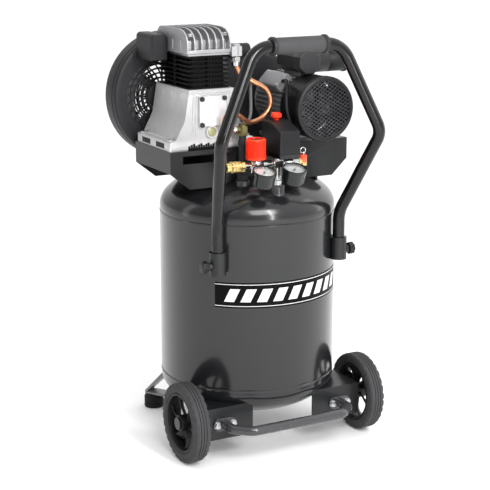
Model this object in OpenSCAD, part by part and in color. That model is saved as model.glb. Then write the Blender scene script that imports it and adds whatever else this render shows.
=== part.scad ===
// Belt-driven piston compressor on an upright air tank with two wheels and a push handle.
// Floor at z = 0, wheels at the front (-Y), belt guard at the back (+Y), +X to the right.

/* [Tank] */
// Outside diameter of the tank
tank_d = 370; // [360:1:380]
// Height of the lower end of the straight wall
shell_low = 130; // [126:1:134]
// Height of the upper end of the straight wall
shell_high = 500; // [497:1:503]
// Depth of the upper dished head
head_rise = 80; // [76:1:84]
// Depth of the lower dished head
base_drop = 72; // [68:1:76]
// Wall thickness of the tank
tank_wall = 3; // [2:0.5:4]

/* [Undercarriage] */
// Outside diameter of the wheels
wheel_d = 165; // [160:1:170]
// Width of the tyres
wheel_w = 35; // [30:1:38]
// Distance between the outer faces of the wheels
track_outer = 450; // [448:1:456]
// Distance of the wheel axle in front of the tank axis
axle_ahead = 123; // [120:1:126]
// Radius of the stub axles
axle_r = 8; // [7:0.5:9]
// Radius of the foot bar tube
bar_r = 10; // [9:0.5:11]
// Distance of the rear feet from the tank axis
foot_out = 242; // [238:1:246]
// Radius of a rear foot
foot_r = 22; // [18:1:24]
// Height of a rear foot
foot_h = 32; // [30:1:34]

/* [Platform] */
// Height of the platform's upper face
deck_z = 634; // [632:1:636]
// Thickness of the platform sheet
deck_t = 4; // [3:0.5:4]

/* [Pump] */
// Crankshaft axis to the left of the tank axis
pump_x = 118; // [117:1:119]
// Height of the crankshaft axis
crank_z = 710; // [709:1:711]
// Bore of the two cylinders
bore_d = 58; // [54:1:58]
// Piston stroke
stroke = 40; // [36:1:41]
// Outside radius of the flywheel
flywheel_r = 112; // [108:1:114]

/* [Motor] */
// Motor axis to the right of the tank axis
motor_x = 108; // [106:1:109]
// Height of the motor axis
motor_z = 707; // [706:1:708]
// Radius of the motor frame over its fins
motor_r = 63; // [61:1:64]
// Outside radius of the motor pulley
pulley_r = 41; // [38:1:44]

/* [Belt guard] */
// Radius of the guard around the flywheel
guard_big_r = 133; // [131:1:135]
// Radius of the guard around the motor pulley
guard_small_r = 88; // [86:1:90]

/* [Handle] */
// Radius of the handle tube
handle_r = 12.5; // [12:0.1:12.5]
// Height of the grip's axis
grip_z = 848.5; // [840:0.5:856]
// How far the grip stands in front of the tank axis
grip_ahead = 210; // [204:1:216]
// Travel of the handle in its clamps
handle_travel = 35; // [30:1:38]

/* [Hidden] */
$fn = 48;

SIDES = [-1, 1];
EPS = 0.01;
GAP = 0.3;          // clearance between pieces that move past each other
RUN = 0.05;         // radial running clearance of a shaft in its bore
tank_r = tank_d / 2;

// Wheels and axles
axle_z = wheel_d / 2;
hub_r = 17;
rim_r = 62;
wheel_in = track_outer / 2 - wheel_w;
axle_head_r = 13;
axle_head_t = 3.2;
bracket_t = 4;
bracket_in = 72;
bracket_cheek = wheel_in - 4;
bracket_front = 159;
bracket_back = 95;
bracket_low = 46;
bracket_high = 114;

// Foot bar
bar_z = 78;
bar_ahead = 224;
bar_end = 138;
bar_corner = 106;
bar_ear = [52, 30];
bar_bolt_pitch = 36;

// Rear legs, as seen along the tangent of the tank
foot_angle = 57.5;
leg_w = 32;
leg_t = 4;
leg_top = 150;
leg_over = 14;

// Platform
deck_left = -215;
deck_right = 198;
deck_front = -78;
deck_back = 90;
deck_skirt = 44;
slot_h = 16;

// Pump, in its own plan about the crankshaft
case_front = -70;
case_back = 84;
case_top = 754;
case_base_w = 188;
case_base_h = 18;
case_top_w = 100;
case_room_r = 50;
cover_seat_r = 30;
sight = [-120, 668.5];
sight_r = 9;
main_r = 12.5;
bearing_r = 26;
bearing_w = 15;
pin_r = 8.5;
web_r = 30;
web_t = 9;
throw = stroke / 2;
bore_y = [-23, 43];
block_len = [-60, 80];
block_w = 94;
block_low = 754;
block_high = 820;
plate_t = 4;
head_low = block_high + plate_t;
head_base_t = 14;
head_w = 100;
rib_t = 4.5;
rib_count = 6;
crown_h = 12;
skirt_h = 14;
top_gap = 0.5;
rod_shank = 24;
cap_axis = 80.5;
cap_at = [-59.4, 40, 706];

// Flywheel, pulley and belt
wheel_y0 = 110;
wheel_y1 = 146;
belt_y = 128;
belt_w = 13;
belt_t = 9;
belt_big_r = flywheel_r - 2;
belt_small_r = pulley_r - 2;
groove_w = belt_w + 1;
groove_d = belt_t + 3;

// Belt guard
guard_x = -123;
guard_z = 722;
guard_y0 = 102;
guard_y1 = 155;
guard_split = 116;
guard_wall = 2.5;
grille_x = -152;
grille_r = 78;
grille_pitch = 9.5;
hood_x0 = -203;
hood_x1 = -168.5;
hood_y0 = 26;
hood_z0 = 804;
hood_z1 = 858;

// Motor
cowl_front = -140;
cowl_back = -62;
frame_back = 54;
shield_t = 14;
rotor_r = 34;
stator_r = 54;
shaft_r = 9.5;

// Instruments
tee = [-8, -142];
tee_z = 606;
reg_x = -57;
gauge_y = -184;
gauge_x = [-60.4, 8.6];
gauge_z = 600;
gauge_r = 24.5;
gauge_depth = 30;
gauge_tilt = 18;
switch_x = [-14, 32];
switch_y = [-165, -87];
switch_z0 = 617;
switch_z1 = 672;
switch_rise = 16;
valve = [-62, -96];

// Handle, as a path from one clamp over the grip to the other
clamp_x = 142.5;
clamp_y = -139;
clamp_low = 390;
clamp_high = 437;
clamp_wall = 4.5;
clamp_floor = 4;
leg_knee = 490;
elbow = [182, -231, 668];
shoulder_x = 97;
knob_z = 409;

// Sweeps: a round tube along a list of points
function unit(v) = v / norm(v);
function bend(a, b, c, r, steps) =
    let (u = unit(a - b), w = unit(c - b), inner = acos(u * w), turn = 180 - inner,
         mid = b + unit(u + w) * r / sin(inner / 2),
         s = unit(b + u * r / tan(inner / 2) - mid), e = unit(b + w * r / tan(inner / 2) - mid))
    [for (k = [0 : steps])
        mid + r * (sin((1 - k / steps) * turn) * s + sin(k / steps * turn) * e) / sin(turn)];
function rounded(p, radii, steps) = concat([p[0]],
    [for (i = [1 : len(p) - 2]) each bend(p[i - 1], p[i], p[i + 1], radii[i - 1], steps)],
    [p[len(p) - 1]]);
function spline(p, steps) = [for (i = [0 : len(p) - 2]) for (k = [0 : steps - 1])
        let (a = p[max(i - 1, 0)], b = p[i], c = p[i + 1], d = p[min(i + 2, len(p) - 1)], t = k / steps)
        0.5 * ((2 * b) + (c - a) * t + (2 * a - 5 * b + 4 * c - d) * t * t
               + (3 * b - a - 3 * c + d) * t * t * t)];
function smooth(p, steps) = concat(spline(p, steps), [p[len(p) - 1]]);
function tangents(p) = [for (i = [0 : len(p) - 1]) unit(p[min(i + 1, len(p) - 1)] - p[max(i - 1, 0)])];
function carried(t, n, i = 0, done = []) = i == len(t) ? done :
    let (last = i == 0 ? n : done[i - 1], now = unit(last - (last * t[i]) * t[i]))
    carried(t, n, i + 1, concat(done, [now]));
function tube_points(p, r, sides, n) =
    let (t = tangents(p), side = carried(t, n))
    [for (i = [0 : len(p) - 1]) for (k = [0 : sides - 1])
        p[i] + r * (cos(360 * k / sides) * side[i] + sin(360 * k / sides) * cross(t[i], side[i]))];

module sweep(p, r, sides, n) {
    rings = len(p);
    polyhedron(tube_points(p, r, sides, n), concat(
        [[for (k = [0 : sides - 1]) k]],
        [for (i = [0 : rings - 2]) for (k = [0 : sides - 1])
            let (a = i * sides + k, b = i * sides + (k + 1) % sides) each
            [[a, a + sides, b], [b, a + sides, b + sides]]],
        [[for (k = [sides - 1 : -1 : 0]) (rings - 1) * sides + k]]));
}

handle_path = rounded([
    [-clamp_x, clamp_y, clamp_low + clamp_floor + GAP], [-clamp_x, clamp_y, leg_knee],
    [-elbow[0], elbow[1], elbow[2]], [-shoulder_x, -grip_ahead, grip_z],
    [shoulder_x, -grip_ahead, grip_z], elbow,
    [clamp_x, clamp_y, leg_knee], [clamp_x, clamp_y, clamp_low + clamp_floor + GAP]],
    [70, 45, 54, 54, 45, 70], 7);
handle_points = tube_points(handle_path, handle_r, 24, [1, 0, 0]);

// The origin lies on the floor under the middle of the whole object's box
box_left = guard_x - guard_big_r;
box_right = track_outer / 2 + axle_head_t + 0.4;
box_front = min([for (p = handle_points) p[1]]);
box_back = foot_out * sin(foot_angle) + foot_r;
home = [-(box_left + box_right) / 2, -(box_front + box_back) / 2, 0];

module at_home() { translate(home) children(); }
module both_sides() { children(); mirror([1, 0, 0]) children(); }
module along_x() { rotate([0, 90, 0]) children(); }
module along_y() { rotate([-90, 0, 0]) children(); }
module pump_frame() { translate([-pump_x, 0, crank_z]) children(); }
module motor_frame_at() { translate([motor_x, 0, motor_z]) children(); }
module ring(r_out, r_in, h) {
    difference() {
        cylinder(r = r_out, h = h);
        translate([0, 0, -1]) cylinder(r = r_in, h = h + 2);
    }
}
module hex_head(across, h) { cylinder(d = across / cos(30), h = h, $fn = 6); }
module y_ring(r_out, r_in, y0, y1) { translate([0, y0, 0]) along_y() ring(r_out, r_in, y1 - y0); }
module y_rod(r, y0, y1) { translate([0, y0, 0]) along_y() cylinder(r = r, h = y1 - y0); }

// ---- Tank ----
function dish(r, h, steps = 18) = [for (i = [0 : steps])
    [r * cos(90 * i / steps), h * sin(90 * i / steps)]];
function vessel(r, low, high, drop, rise) = concat(
    [for (p = dish(r, rise)) [p[0], high + p[1]]],
    [for (i = [18 : -1 : 0]) [dish(r, drop)[i][0], low - dish(r, drop)[i][1]]]);
module tank_solid(extra = 0) {
    rotate_extrude($fn = 96) polygon(vessel(tank_r + extra, shell_low, shell_high,
        base_drop + extra, head_rise + extra));
}
module tank_outside() {
    tank_solid();
    for (z = [137.5, 486]) translate([0, 0, z - 3]) ring(tank_r + 0.6, tank_r - 1, 6);
}
module tank() {
    color("dimgray") at_home() difference() {
        union() {
            tank_outside();
            translate([tee[0], tee[1], 540]) cylinder(r = 15, h = 22);
            translate([valve[0], valve[1], 545]) cylinder(r = 15, h = 24);
            translate([0, 0, shell_low - base_drop - 8]) cylinder(r = 14, h = 14);
        }
        rotate_extrude($fn = 96) polygon(vessel(tank_r - tank_wall, shell_low, shell_high,
            base_drop - tank_wall, head_rise - tank_wall));
        translate([tee[0], tee[1], 530]) cylinder(r = 9, h = 50);
        translate([valve[0], valve[1], 530]) cylinder(r = 9, h = 50);
        translate([0, 0, shell_low - base_drop - 20]) cylinder(r = 6.5, h = 40);
    }
}

// ---- Platform ----
module skirt_shape() {
    polygon([[deck_left, deck_z], [deck_left, deck_z - deck_skirt], [deck_left + 43, deck_z - 78],
        [deck_right - 36, deck_z - 78], [deck_right, deck_z - deck_skirt], [deck_right, deck_z]]);
}
module platform() {
    color("dimgray") at_home() difference() {
        union() {
            translate([deck_left, deck_front, deck_z - deck_t])
                cube([deck_right - deck_left, deck_back - deck_front, deck_t]);
            for (y = [deck_front, deck_back - deck_t]) translate([0, y + deck_t, 0])
                rotate([90, 0, 0]) linear_extrude(deck_t) skirt_shape();
            for (x = [deck_left, deck_right - deck_t]) translate([x, deck_front, deck_z - deck_skirt])
                cube([deck_t, deck_back - deck_front, deck_skirt]);
            for (x = [-67, 125]) translate([x, deck_front + deck_t, deck_z - 110])
                cube([deck_t, deck_back - deck_front - 2 * deck_t, 110 - deck_t]);
        }
        tank_solid();
        translate([-187, deck_front - 1, deck_z - 26]) cube([117, deck_t + 2, slot_h]);
        translate([-60, deck_front - 1, deck_z - 26]) cube([60, deck_t + 2, slot_h]);
    }
}

// ---- Undercarriage ----
module axle_bracket() {
    difference() {
        union() {
            translate([bracket_in, -bracket_front, bracket_low])
                cube([bracket_cheek - bracket_in, bracket_t, bracket_high - bracket_low]);
            translate([bracket_cheek - bracket_t, -bracket_front, bracket_low])
                cube([bracket_t, bracket_front - bracket_back, bracket_high - bracket_low - 8]);
            translate([bracket_cheek - 44, -bracket_front, bracket_low])
                cube([bracket_t, bracket_front - bracket_back, bracket_high - bracket_low]);
            translate([90, -bracket_front, bracket_high - bracket_t])
                cube([bracket_cheek - 90, bracket_front - 60, bracket_t]);
            translate([bracket_cheek - 44, -axle_ahead, axle_z]) along_x() cylinder(r = 12, h = 44);
        }
        tank_solid();
        translate([bracket_cheek - 60, -axle_ahead, axle_z]) along_x()
            cylinder(r = axle_r, h = 80);
    }
    translate([bracket_cheek - 52, -axle_ahead, axle_z]) along_x()
        cylinder(r = axle_r, h = track_outer / 2 + 0.4 - bracket_cheek + 52);
    translate([track_outer / 2 + 0.4, -axle_ahead, axle_z]) along_x()
        cylinder(r = axle_head_r, h = axle_head_t);
}
module axle_brackets() { color("dimgray") at_home() both_sides() axle_bracket(); }

module tyre(side) {
    translate([side * (wheel_in + wheel_w / 2), -axle_ahead, axle_z]) along_x() rotate_extrude($fn = 96)
        difference() {
            polygon([[rim_r, -wheel_w / 2 + 3], [rim_r + 3, -wheel_w / 2], [axle_z - 6, -wheel_w / 2],
                [axle_z - 1, -wheel_w / 2 + 4], [axle_z, -wheel_w / 2 + 8], [axle_z, wheel_w / 2 - 8],
                [axle_z - 1, wheel_w / 2 - 4], [axle_z - 6, wheel_w / 2], [rim_r + 3, wheel_w / 2],
                [rim_r, wheel_w / 2 - 3]]);
            for (g = [-6, 0, 6]) translate([axle_z - 2, g - 1]) square([4, 2]);
        }
}
module rim(side) {
    translate([side * (wheel_in + wheel_w / 2), -axle_ahead, axle_z]) along_x() difference() {
        union() {
            translate([0, 0, -wheel_w / 2 + 3]) ring(rim_r, rim_r - 6, wheel_w - 6);
            translate([0, 0, -wheel_w / 2]) cylinder(r = hub_r, h = wheel_w);
            for (k = [0 : 5]) rotate([0, 0, 60 * k]) translate([hub_r - 3, -5, -7])
                cube([rim_r - 5 - hub_r + 3, 10, 14]);
        }
        translate([0, 0, -wheel_w]) cylinder(r = axle_r + RUN, h = 2 * wheel_w);
    }
}
module left_tyre() { color("slategray") at_home() tyre(-1); }
module right_tyre() { color("slategray") at_home() tyre(1); }
module left_rim() { color("darkslategray") at_home() rim(-1); }
module right_rim() { color("darkslategray") at_home() rim(1); }

module bar_ear_plate() {
    translate([bar_end - bar_ear[0] / 2, -bracket_front - 3, bar_z - bar_ear[1] / 2]) difference() {
        cube([bar_ear[0], 3, bar_ear[1]]);
        for (s = SIDES) translate([bar_ear[0] / 2 + s * bar_bolt_pitch / 2, -1, bar_ear[1] / 2])
            along_y() cylinder(r = 4.2, h = 5);
    }
}
module foot_bar() {
    color("dimgray") at_home() {
        both_sides() bar_ear_plate();
        sweep(rounded([[-bar_end, -bracket_front - 1.5, bar_z], [-bar_end, -bar_ahead + 30, bar_z],
            [-bar_corner, -bar_ahead, bar_z], [bar_corner, -bar_ahead, bar_z],
            [bar_end, -bar_ahead + 30, bar_z], [bar_end, -bracket_front - 1.5, bar_z]],
            [14, 24, 24, 14], 5), bar_r, 20, [0, 0, 1]);
    }
}

module leg_side() {
    difference() {
        rotate([90, 0, 0]) translate([0, 0, -leg_w / 2]) linear_extrude(leg_w) difference() {
            polygon([[tank_r - 2, foot_h], [foot_out + leg_over, foot_h],
                [foot_out + leg_over, foot_h + 7], [tank_r + 8, 106], [tank_r + 4, leg_top],
                [tank_r - 2, leg_top]]);
            polygon([[tank_r + 5, foot_h + leg_t], [foot_out + 10, foot_h + leg_t], [tank_r + 5, 96]]);
        }
        tank_outside();
    }
}
module rear_legs() {
    color("gray") at_home() for (a = [foot_angle, 180 - foot_angle]) rotate([0, 0, a]) leg_side();
}
module rear_feet() {
    color("black") at_home() for (a = [foot_angle, 180 - foot_angle]) rotate([0, 0, a])
        translate([foot_out, 0, 0]) {
            cylinder(r = foot_r, h = foot_h - 6);
            translate([0, 0, foot_h - 6]) cylinder(r = foot_r - 2, h = 6);
        }
}

module drain_valve() {
    color("goldenrod") at_home() translate([0, 0, shell_low - base_drop - 8]) {
        translate([0, 0, -9]) hex_head(19, 9);
        translate([0, 0, 0]) cylinder(r = 6.5, h = 12);
        translate([0, 0, -14]) cylinder(r = 6, h = 5);
        translate([0, 0, -18]) cylinder(r = 2 - RUN, h = 5);
    }
}
module drain_knob() {
    color("silver") at_home() translate([0, 0, shell_low - base_drop - 8 - 14 - GAP]) difference() {
        union() {
            translate([0, 0, -5]) cylinder(r = 10, h = 5);
            for (s = SIDES) translate([s * 10, 0, -5]) cylinder(r = 4, h = 5);
        }
        translate([0, 0, -6]) cylinder(r = 2, h = 7);
    }
}

// ---- Pump ----
module case_outline() {
    polygon([[-case_base_w / 2, 0], [case_base_w / 2, 0], [case_base_w / 2, case_base_h],
        [case_base_w / 2 - 14, case_base_h + 4], [case_top_w / 2 + 10, 60],
        [case_top_w / 2, case_top - deck_z], [-case_top_w / 2, case_top - deck_z],
        [-case_top_w / 2 - 10, 60], [-case_base_w / 2 + 14, case_base_h + 4],
        [-case_base_w / 2, case_base_h]]);
}
module crankcase() {
    color("gainsboro") at_home() difference() {
        union() {
            translate([-pump_x, case_back, deck_z]) rotate([90, 0, 0])
                linear_extrude(case_back - case_front) case_outline();
            pump_frame() y_rod(38, case_back - 8, 98);
        }
        pump_frame() {
            y_rod(case_room_r, case_front + 12, case_back - 12);
            y_rod(cover_seat_r, case_front - 1, case_front + 13);
            y_rod(bearing_r, case_back - 14, 96);
            y_rod(20, 95, 99);
        }
        translate([-pump_x - 37, block_len[0] + 10, crank_z]) cube([74, 120, 60]);
        translate(cap_at) rotate([0, cap_axis, 0]) translate([0, 0, -16]) cylinder(r = 6 + RUN, h = 20);
        for (s = SIDES, y = [case_front + 14, case_back - 14])
            translate([-pump_x + s * (case_base_w / 2 - 8), y, deck_z]) {
                translate([0, 0, -1]) cylinder(r = 4.5, h = 40);
                translate([0, 0, case_base_h]) cylinder(r = 9, h = 30);
            }
        translate([sight[0], case_front - 1, sight[1]]) along_y() cylinder(r = sight_r + 0.1, h = 20);
    }
}
module crankcase_cover() {
    color("white") at_home() pump_frame() difference() {
        union() {
            translate([-30, case_front - 6, -29]) cube([60, 6, 60]);
            y_rod(cover_seat_r - 0.1, case_front, case_front + 14);
        }
        y_rod(bearing_r, case_front + 1, case_front + 15);
    }
}
module sight_glass() {
    color("darkkhaki") at_home() translate([sight[0], case_front - 4, sight[1]]) along_y()
        cylinder(r = sight_r, h = 14);
}
module filler_cap() {
    color("black") at_home() translate(cap_at) rotate([0, cap_axis, 0]) {
        translate([0, 0, GAP]) cylinder(r = 11, h = 14);
        translate([0, 0, -8]) cylinder(r = 6, h = 9);
    }
}
module cylinder_block() {
    color("#2a2a2a") at_home() difference() {
        union() {
            translate([-pump_x - 40, block_len[0] + 6, block_low])
                cube([80, block_len[1] - block_len[0] - 12, block_high - block_low]);
            for (k = [0 : 5]) translate([-pump_x - block_w / 2, block_len[0],
                    block_low + k * (block_high - block_low - 6) / 5])
                cube([block_w, block_len[1] - block_len[0], k == 0 || k == 5 ? 6 : 4]);
        }
        for (y = bore_y) translate([-pump_x, y, case_top - 1])
            cylinder(d = bore_d, h = block_high - case_top + 2);
    }
}
module valve_plate() {
    color("silver") at_home() translate([-pump_x - block_w / 2, block_len[0], block_high]) difference() {
        cube([block_w, block_len[1] - block_len[0], plate_t]);
        for (x = [32, 62], y = bore_y) translate([x, y - block_len[0], -1]) cylinder(r = 6, h = plate_t + 2);
    }
}
module cylinder_head() {
    color("silver") at_home() difference() {
        union() {
            translate([-pump_x - head_w / 2, block_len[0] - 2, head_low])
                cube([head_w, block_len[1] - block_len[0] + 4, head_base_t]);
            translate([-pump_x - head_w / 2 + 4, block_len[0] + 6, head_low])
                cube([head_w - 8, block_len[1] - block_len[0] - 12, 34]);
            for (k = [0 : rib_count - 1])
                translate([-pump_x - head_w / 2 + k * (head_w - rib_t) / (rib_count - 1),
                        block_len[0], head_low]) rotate([90, 0, 90]) linear_extrude(rib_t)
                    polygon([[0, 0], [0, 26], [8, 40], [26, 48], [126, 50], [138, 40], [140, 0]]);
            translate([-pump_x + head_w / 2 - 1, -66, head_low - 8]) cube([22, 18, 20]);
            translate([-pump_x + head_w / 2 - 1, -28, head_low - 6]) cube([8, 24, 20]);
        }
        for (y = bore_y) translate([-pump_x, y, head_low - 1]) cylinder(r = 24, h = 12);
        translate([-57, -57, head_low - 9]) cylinder(r = 5, h = 14);
    }
}
module air_filter() {
    color("#222222") at_home() translate([-pump_x + head_w / 2 + 7.2, -16, head_low + 2]) {
        along_x() cylinder(r = 8, h = 14);
        translate([12, -15, -20]) cube([42, 30, 30]);
    }
}
function crank_throw(i) = i == 0 ? -throw : throw;
module crankshaft() {
    color("gray") at_home() pump_frame() {
        y_rod(main_r, case_front + 2, bore_y[0] - 20);
        for (i = [0, 1]) {
            translate([0, 0, crank_throw(i)]) y_rod(pin_r, bore_y[i] - 12, bore_y[i] + 12);
            for (s = SIDES) translate([0, bore_y[i] + s * 16 - web_t / 2, 0])
                along_y() cylinder(r = web_r, h = web_t);
        }
        y_rod(main_r, bore_y[0] + 20, bore_y[1] - 20);
        y_rod(main_r, bore_y[1] + 20, 151);
    }
}
module bearing(y, r_in) {
    translate([0, y, 0]) along_y() ring(bearing_r, r_in + RUN, bearing_w);
}
module bearings() {
    color("lightgray") at_home() {
        pump_frame() {
            bearing(case_front + 1, main_r);
            bearing(case_back - 4, main_r);
        }
        motor_frame_at() for (y = [cowl_back - 10, frame_back - 1])
            translate([0, y, 0]) along_y() ring(20, shaft_r + RUN, 11);
    }
}
module grooved_wheel(r, bore_r, y0, y1) {
    translate([0, y0, 0]) rotate([-90, 0, 0]) rotate_extrude($fn = 96) difference() {
        translate([bore_r, 0]) square([r - bore_r, y1 - y0]);
        translate([r - groove_d, belt_y - y0 - groove_w / 2]) square([groove_d + 1, groove_w]);
    }
}
module flywheel() {
    color("dimgray") at_home() pump_frame() {
        difference() {
            union() {
                grooved_wheel(flywheel_r, flywheel_r - 24, wheel_y0 + 4, wheel_y1 - 4);
                y_rod(27, wheel_y0, wheel_y1);
                for (k = [0 : 4]) rotate([0, 72 * k, 0])
                    translate([20, belt_y - 4, -11]) cube([flywheel_r - 42, 8, 22]);
            }
            y_rod(main_r + EPS, wheel_y0 - 1, wheel_y1 + 1);
        }
        translate([0, wheel_y1 + 0.1, 0]) along_y() difference() {
            hex_head(24, 4);
            translate([0, 0, -1]) cylinder(r = main_r + EPS, h = 6);
        }
    }
}
module piston(i) {
    pin_z = block_high - top_gap - crown_h - (i == 0 ? stroke : 0);
    at_home() translate([-pump_x, bore_y[i], pin_z]) {
        difference() {
            translate([0, 0, -skirt_h]) cylinder(r = bore_d / 2 - RUN, h = skirt_h + crown_h);
            translate([0, 0, -skirt_h - 1]) cylinder(r = bore_d / 2 - 5, h = skirt_h + crown_h - 4);
            translate([0, 30, 0]) rotate([90, 0, 0]) cylinder(r = 6, h = 60);
        }
        translate([0, 23.5, 0]) rotate([90, 0, 0]) cylinder(r = 6, h = 47);
        difference() {
            union() {
                translate([0, 8, 0]) rotate([90, 0, 0]) cylinder(r = 9, h = 16);
                translate([-6, -5, -rod_shank]) cube([12, 10, rod_shank - 6.5]);
            }
            translate([0, 9, 0]) rotate([90, 0, 0]) cylinder(r = 6, h = 18);
        }
    }
}
module front_piston() { color("silver") piston(0); }
module rear_piston() { color("silver") piston(1); }

// ---- Belt drive ----
function arc(c, r, from, to, n) = [for (k = [0 : n])
    c + r * [cos(from + (to - from) * k / n), sin(from + (to - from) * k / n)]];
module two_wheels(c1, r1, c2, r2) {
    a = atan2(c2[1] - c1[1], c2[0] - c1[0]);
    g = acos((r1 - r2) / norm(c2 - c1));
    polygon(concat(arc(c1, r1, a + g, a + 360 - g, 64), arc(c2, r2, a - g, a + g, 40)));
}
crank_at = [-pump_x, crank_z];
motor_at = [motor_x, motor_z];
guard_at = [guard_x, guard_z];
module slab(y0, y1) { translate([0, y1, 0]) rotate([90, 0, 0]) linear_extrude(y1 - y0) children(); }
module drive_belt() {
    color("black") at_home() difference() {
        slab(belt_y - belt_w / 2, belt_y + belt_w / 2)
            two_wheels(crank_at, belt_big_r, motor_at, belt_small_r);
        slab(belt_y - belt_w, belt_y + belt_w)
            two_wheels(crank_at, belt_big_r - belt_t, motor_at, belt_small_r - belt_t);
    }
}
module guard_shape(inset) {
    two_wheels(guard_at, guard_big_r - inset, motor_at, guard_small_r - inset);
}
module guard_back() {
    color("#3a3a3a") at_home() difference() {
        slab(guard_split, guard_y1) guard_shape(0);
        slab(guard_split - 1, guard_y1 - guard_wall) guard_shape(guard_wall);
        for (k = [1 : 6]) translate([guard_x, guard_y1 - 4, guard_z]) along_y() difference() {
            ring(15 + 11 * k, 10 + 11 * k, 8);
            for (s = [0 : 5]) rotate([0, 0, 60 * s]) translate([0, -3, -1]) cube([100, 6, 10]);
        }
    }
}
module guard_front() {
    color("#333333") at_home() {
        difference() {
            slab(guard_y0, guard_split - 0.2) guard_shape(1);
            slab(guard_y0 + guard_wall, guard_split + 1) guard_shape(1 + guard_wall);
            pump_frame() y_rod(48, guard_y0 - 1, guard_y0 + 5);
            motor_frame_at() y_rod(30, guard_y0 - 1, guard_y0 + 5);
            for (k = [4 : 7]) translate([grille_x, guard_y0 - 1, guard_z]) along_y() difference() {
                ring(grille_pitch * k + 5, grille_pitch * k, 5);
                for (s = [0 : 7]) rotate([0, 0, 45 * s + 10]) translate([0, -2, -1]) cube([100, 4, 8]);
            }
        }
        for (x = [-70, 50]) translate([x, deck_back + 0.1, 600]) cube([24, guard_y0 - deck_back, 20]);
        difference() {
            translate([hood_x0, hood_y0, hood_z0]) cube([hood_x1 - hood_x0, guard_y0 - hood_y0, 54]);
            translate([hood_x0 + 3, hood_y0 + 3, hood_z0 - 1])
                cube([hood_x1 - hood_x0, guard_y0 - hood_y0 + 3, 52]);
        }
    }
}

// ---- Motor ----
module motor_frame() {
    color("silver") at_home() motor_frame_at() {
        difference() {
            union() {
                y_rod(57.5, cowl_back + 0.2, frame_back);
                for (k = [0 : 21]) rotate([0, -105 + k * 300 / 21, 0])
                    translate([50, cowl_back + 4, -1.5]) cube([motor_r - 50, 108, 3]);
                for (s = SIDES) translate([s * 44 - 12, cowl_back + 18, deck_z - motor_z])
                    cube([24, 84, 26]);
                translate([-44, cowl_back + 18, deck_z - motor_z]) cube([88, 84, 10]);
            }
            y_rod(stator_r, cowl_back - 1, frame_back + 1);
            for (s = SIDES, y = [cowl_back + 32, cowl_back + 88])
                translate([s * 48, y, deck_z - motor_z - 1]) cylinder(r = 4, h = 11.2);
        }
        y_ring(stator_r, rotor_r + 0.6, cowl_back + 16, frame_back - 16);
    }
}
module end_shields() {
    color("silver") at_home() motor_frame_at() {
        difference() {
            y_rod(58, frame_back + 0.1, frame_back + shield_t);
            y_rod(20, frame_back - 1, frame_back + 10);
            y_rod(shaft_r + 1, frame_back, frame_back + shield_t + 1);
        }
        difference() {
            y_rod(56, cowl_back - 12, cowl_back);
            y_rod(20, cowl_back - 10, cowl_back + 1);
            y_rod(shaft_r + 1, cowl_back - 13, cowl_back);
        }
    }
}
module fan_cowl() {
    color("#333333") at_home() motor_frame_at() difference() {
        union() {
            y_rod(65, cowl_front, cowl_back);
            y_rod(67, cowl_front + 4, cowl_front + 18);
        }
        y_rod(63, cowl_front + 3, cowl_back + 1);
        for (i = [-6 : 6], j = [-6 : 6]) if (norm([i, j]) < 6.1)
            translate([i * 8, cowl_front - 1, j * 8]) along_y() cylinder(r = 2.9, h = 6, $fn = 4);
    }
}
module terminal_cover() {
    color("silver") at_home() motor_frame_at() rotate([0, -135, 0])
        translate([58, cowl_back + 12, -20]) cube([18.5, 84, 40]);
}
module terminal_box() {
    color("#2c2c2c") at_home() translate([99, -90, 798]) along_y()
        rotate([0, 0, 22.5]) cylinder(r = 27, h = 96, $fn = 8);
}
module capacitor_can() {
    color("#2c2c2c") at_home() translate([124.3, -58, 798]) along_x() {
        cylinder(r = 25, h = 70);
        translate([0, 0, 70]) cylinder(r = 27, h = 6);
    }
}
module rotor() {
    color("gray") at_home() motor_frame_at() {
        y_rod(rotor_r, cowl_back + 18, frame_back - 18);
        difference() {
            y_rod(shaft_r, cowl_front + 14, 148);
            y_rod(rotor_r, cowl_back + 18, frame_back - 18);
        }
    }
}
module cooling_fan() {
    color("black") at_home() motor_frame_at() {
        y_ring(16, shaft_r, cowl_front + 16, cowl_front + 44);
        for (k = [0 : 6]) rotate([0, k * 360 / 7, 0])
            translate([15, cowl_front + 18, -1]) cube([40, 24, 2]);
    }
}
module motor_pulley() {
    color("gray") at_home() motor_frame_at() grooved_wheel(pulley_r, shaft_r, 112, 146);
}

// ---- Air and electric lines ----
pipe_path = smooth([[-57, -57, 820], [-57, -57, 806], [-55, -58, 793], [-46, -62, 777], [-20, -68, 762],
    [3, -71, 749], [14, -73, 732], [13, -74, 713], [2, -76, 697], [-18, -79, 686], [-42, -84, 684],
    [-64, -90, 698], [-82, -94, 709], [-98, -96, 703], [-105, -96, 688], [-99, -96, 675],
    [-88, -96, 672], [-78.1, -96, 672]], 3);
module delivery_pipe() {
    color("peru") at_home() {
        sweep(pipe_path, 5, 12, [0, 1, 0]);
        translate([-57, -57, 806]) difference() {
            hex_head(17, 9.9);
            translate([0, 0, -1]) cylinder(r = 5.2, h = 12);
        }
    }
}
module check_valve() {
    color("darkgoldenrod") at_home() translate([valve[0], valve[1], 545]) {
        cylinder(r = 9, h = 40);
        translate([0, 0, 25]) hex_head(22, 14);
        translate([0, 0, 30]) cylinder(r = 8, h = 90);
        translate([0, 0, 115]) hex_head(20, 24);
        translate([-16, 0, 127]) along_x() cylinder(r = 7.5, h = 16);
        translate([8, 0, 60]) along_x() cylinder(r = 5, h = 8);
    }
}
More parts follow.
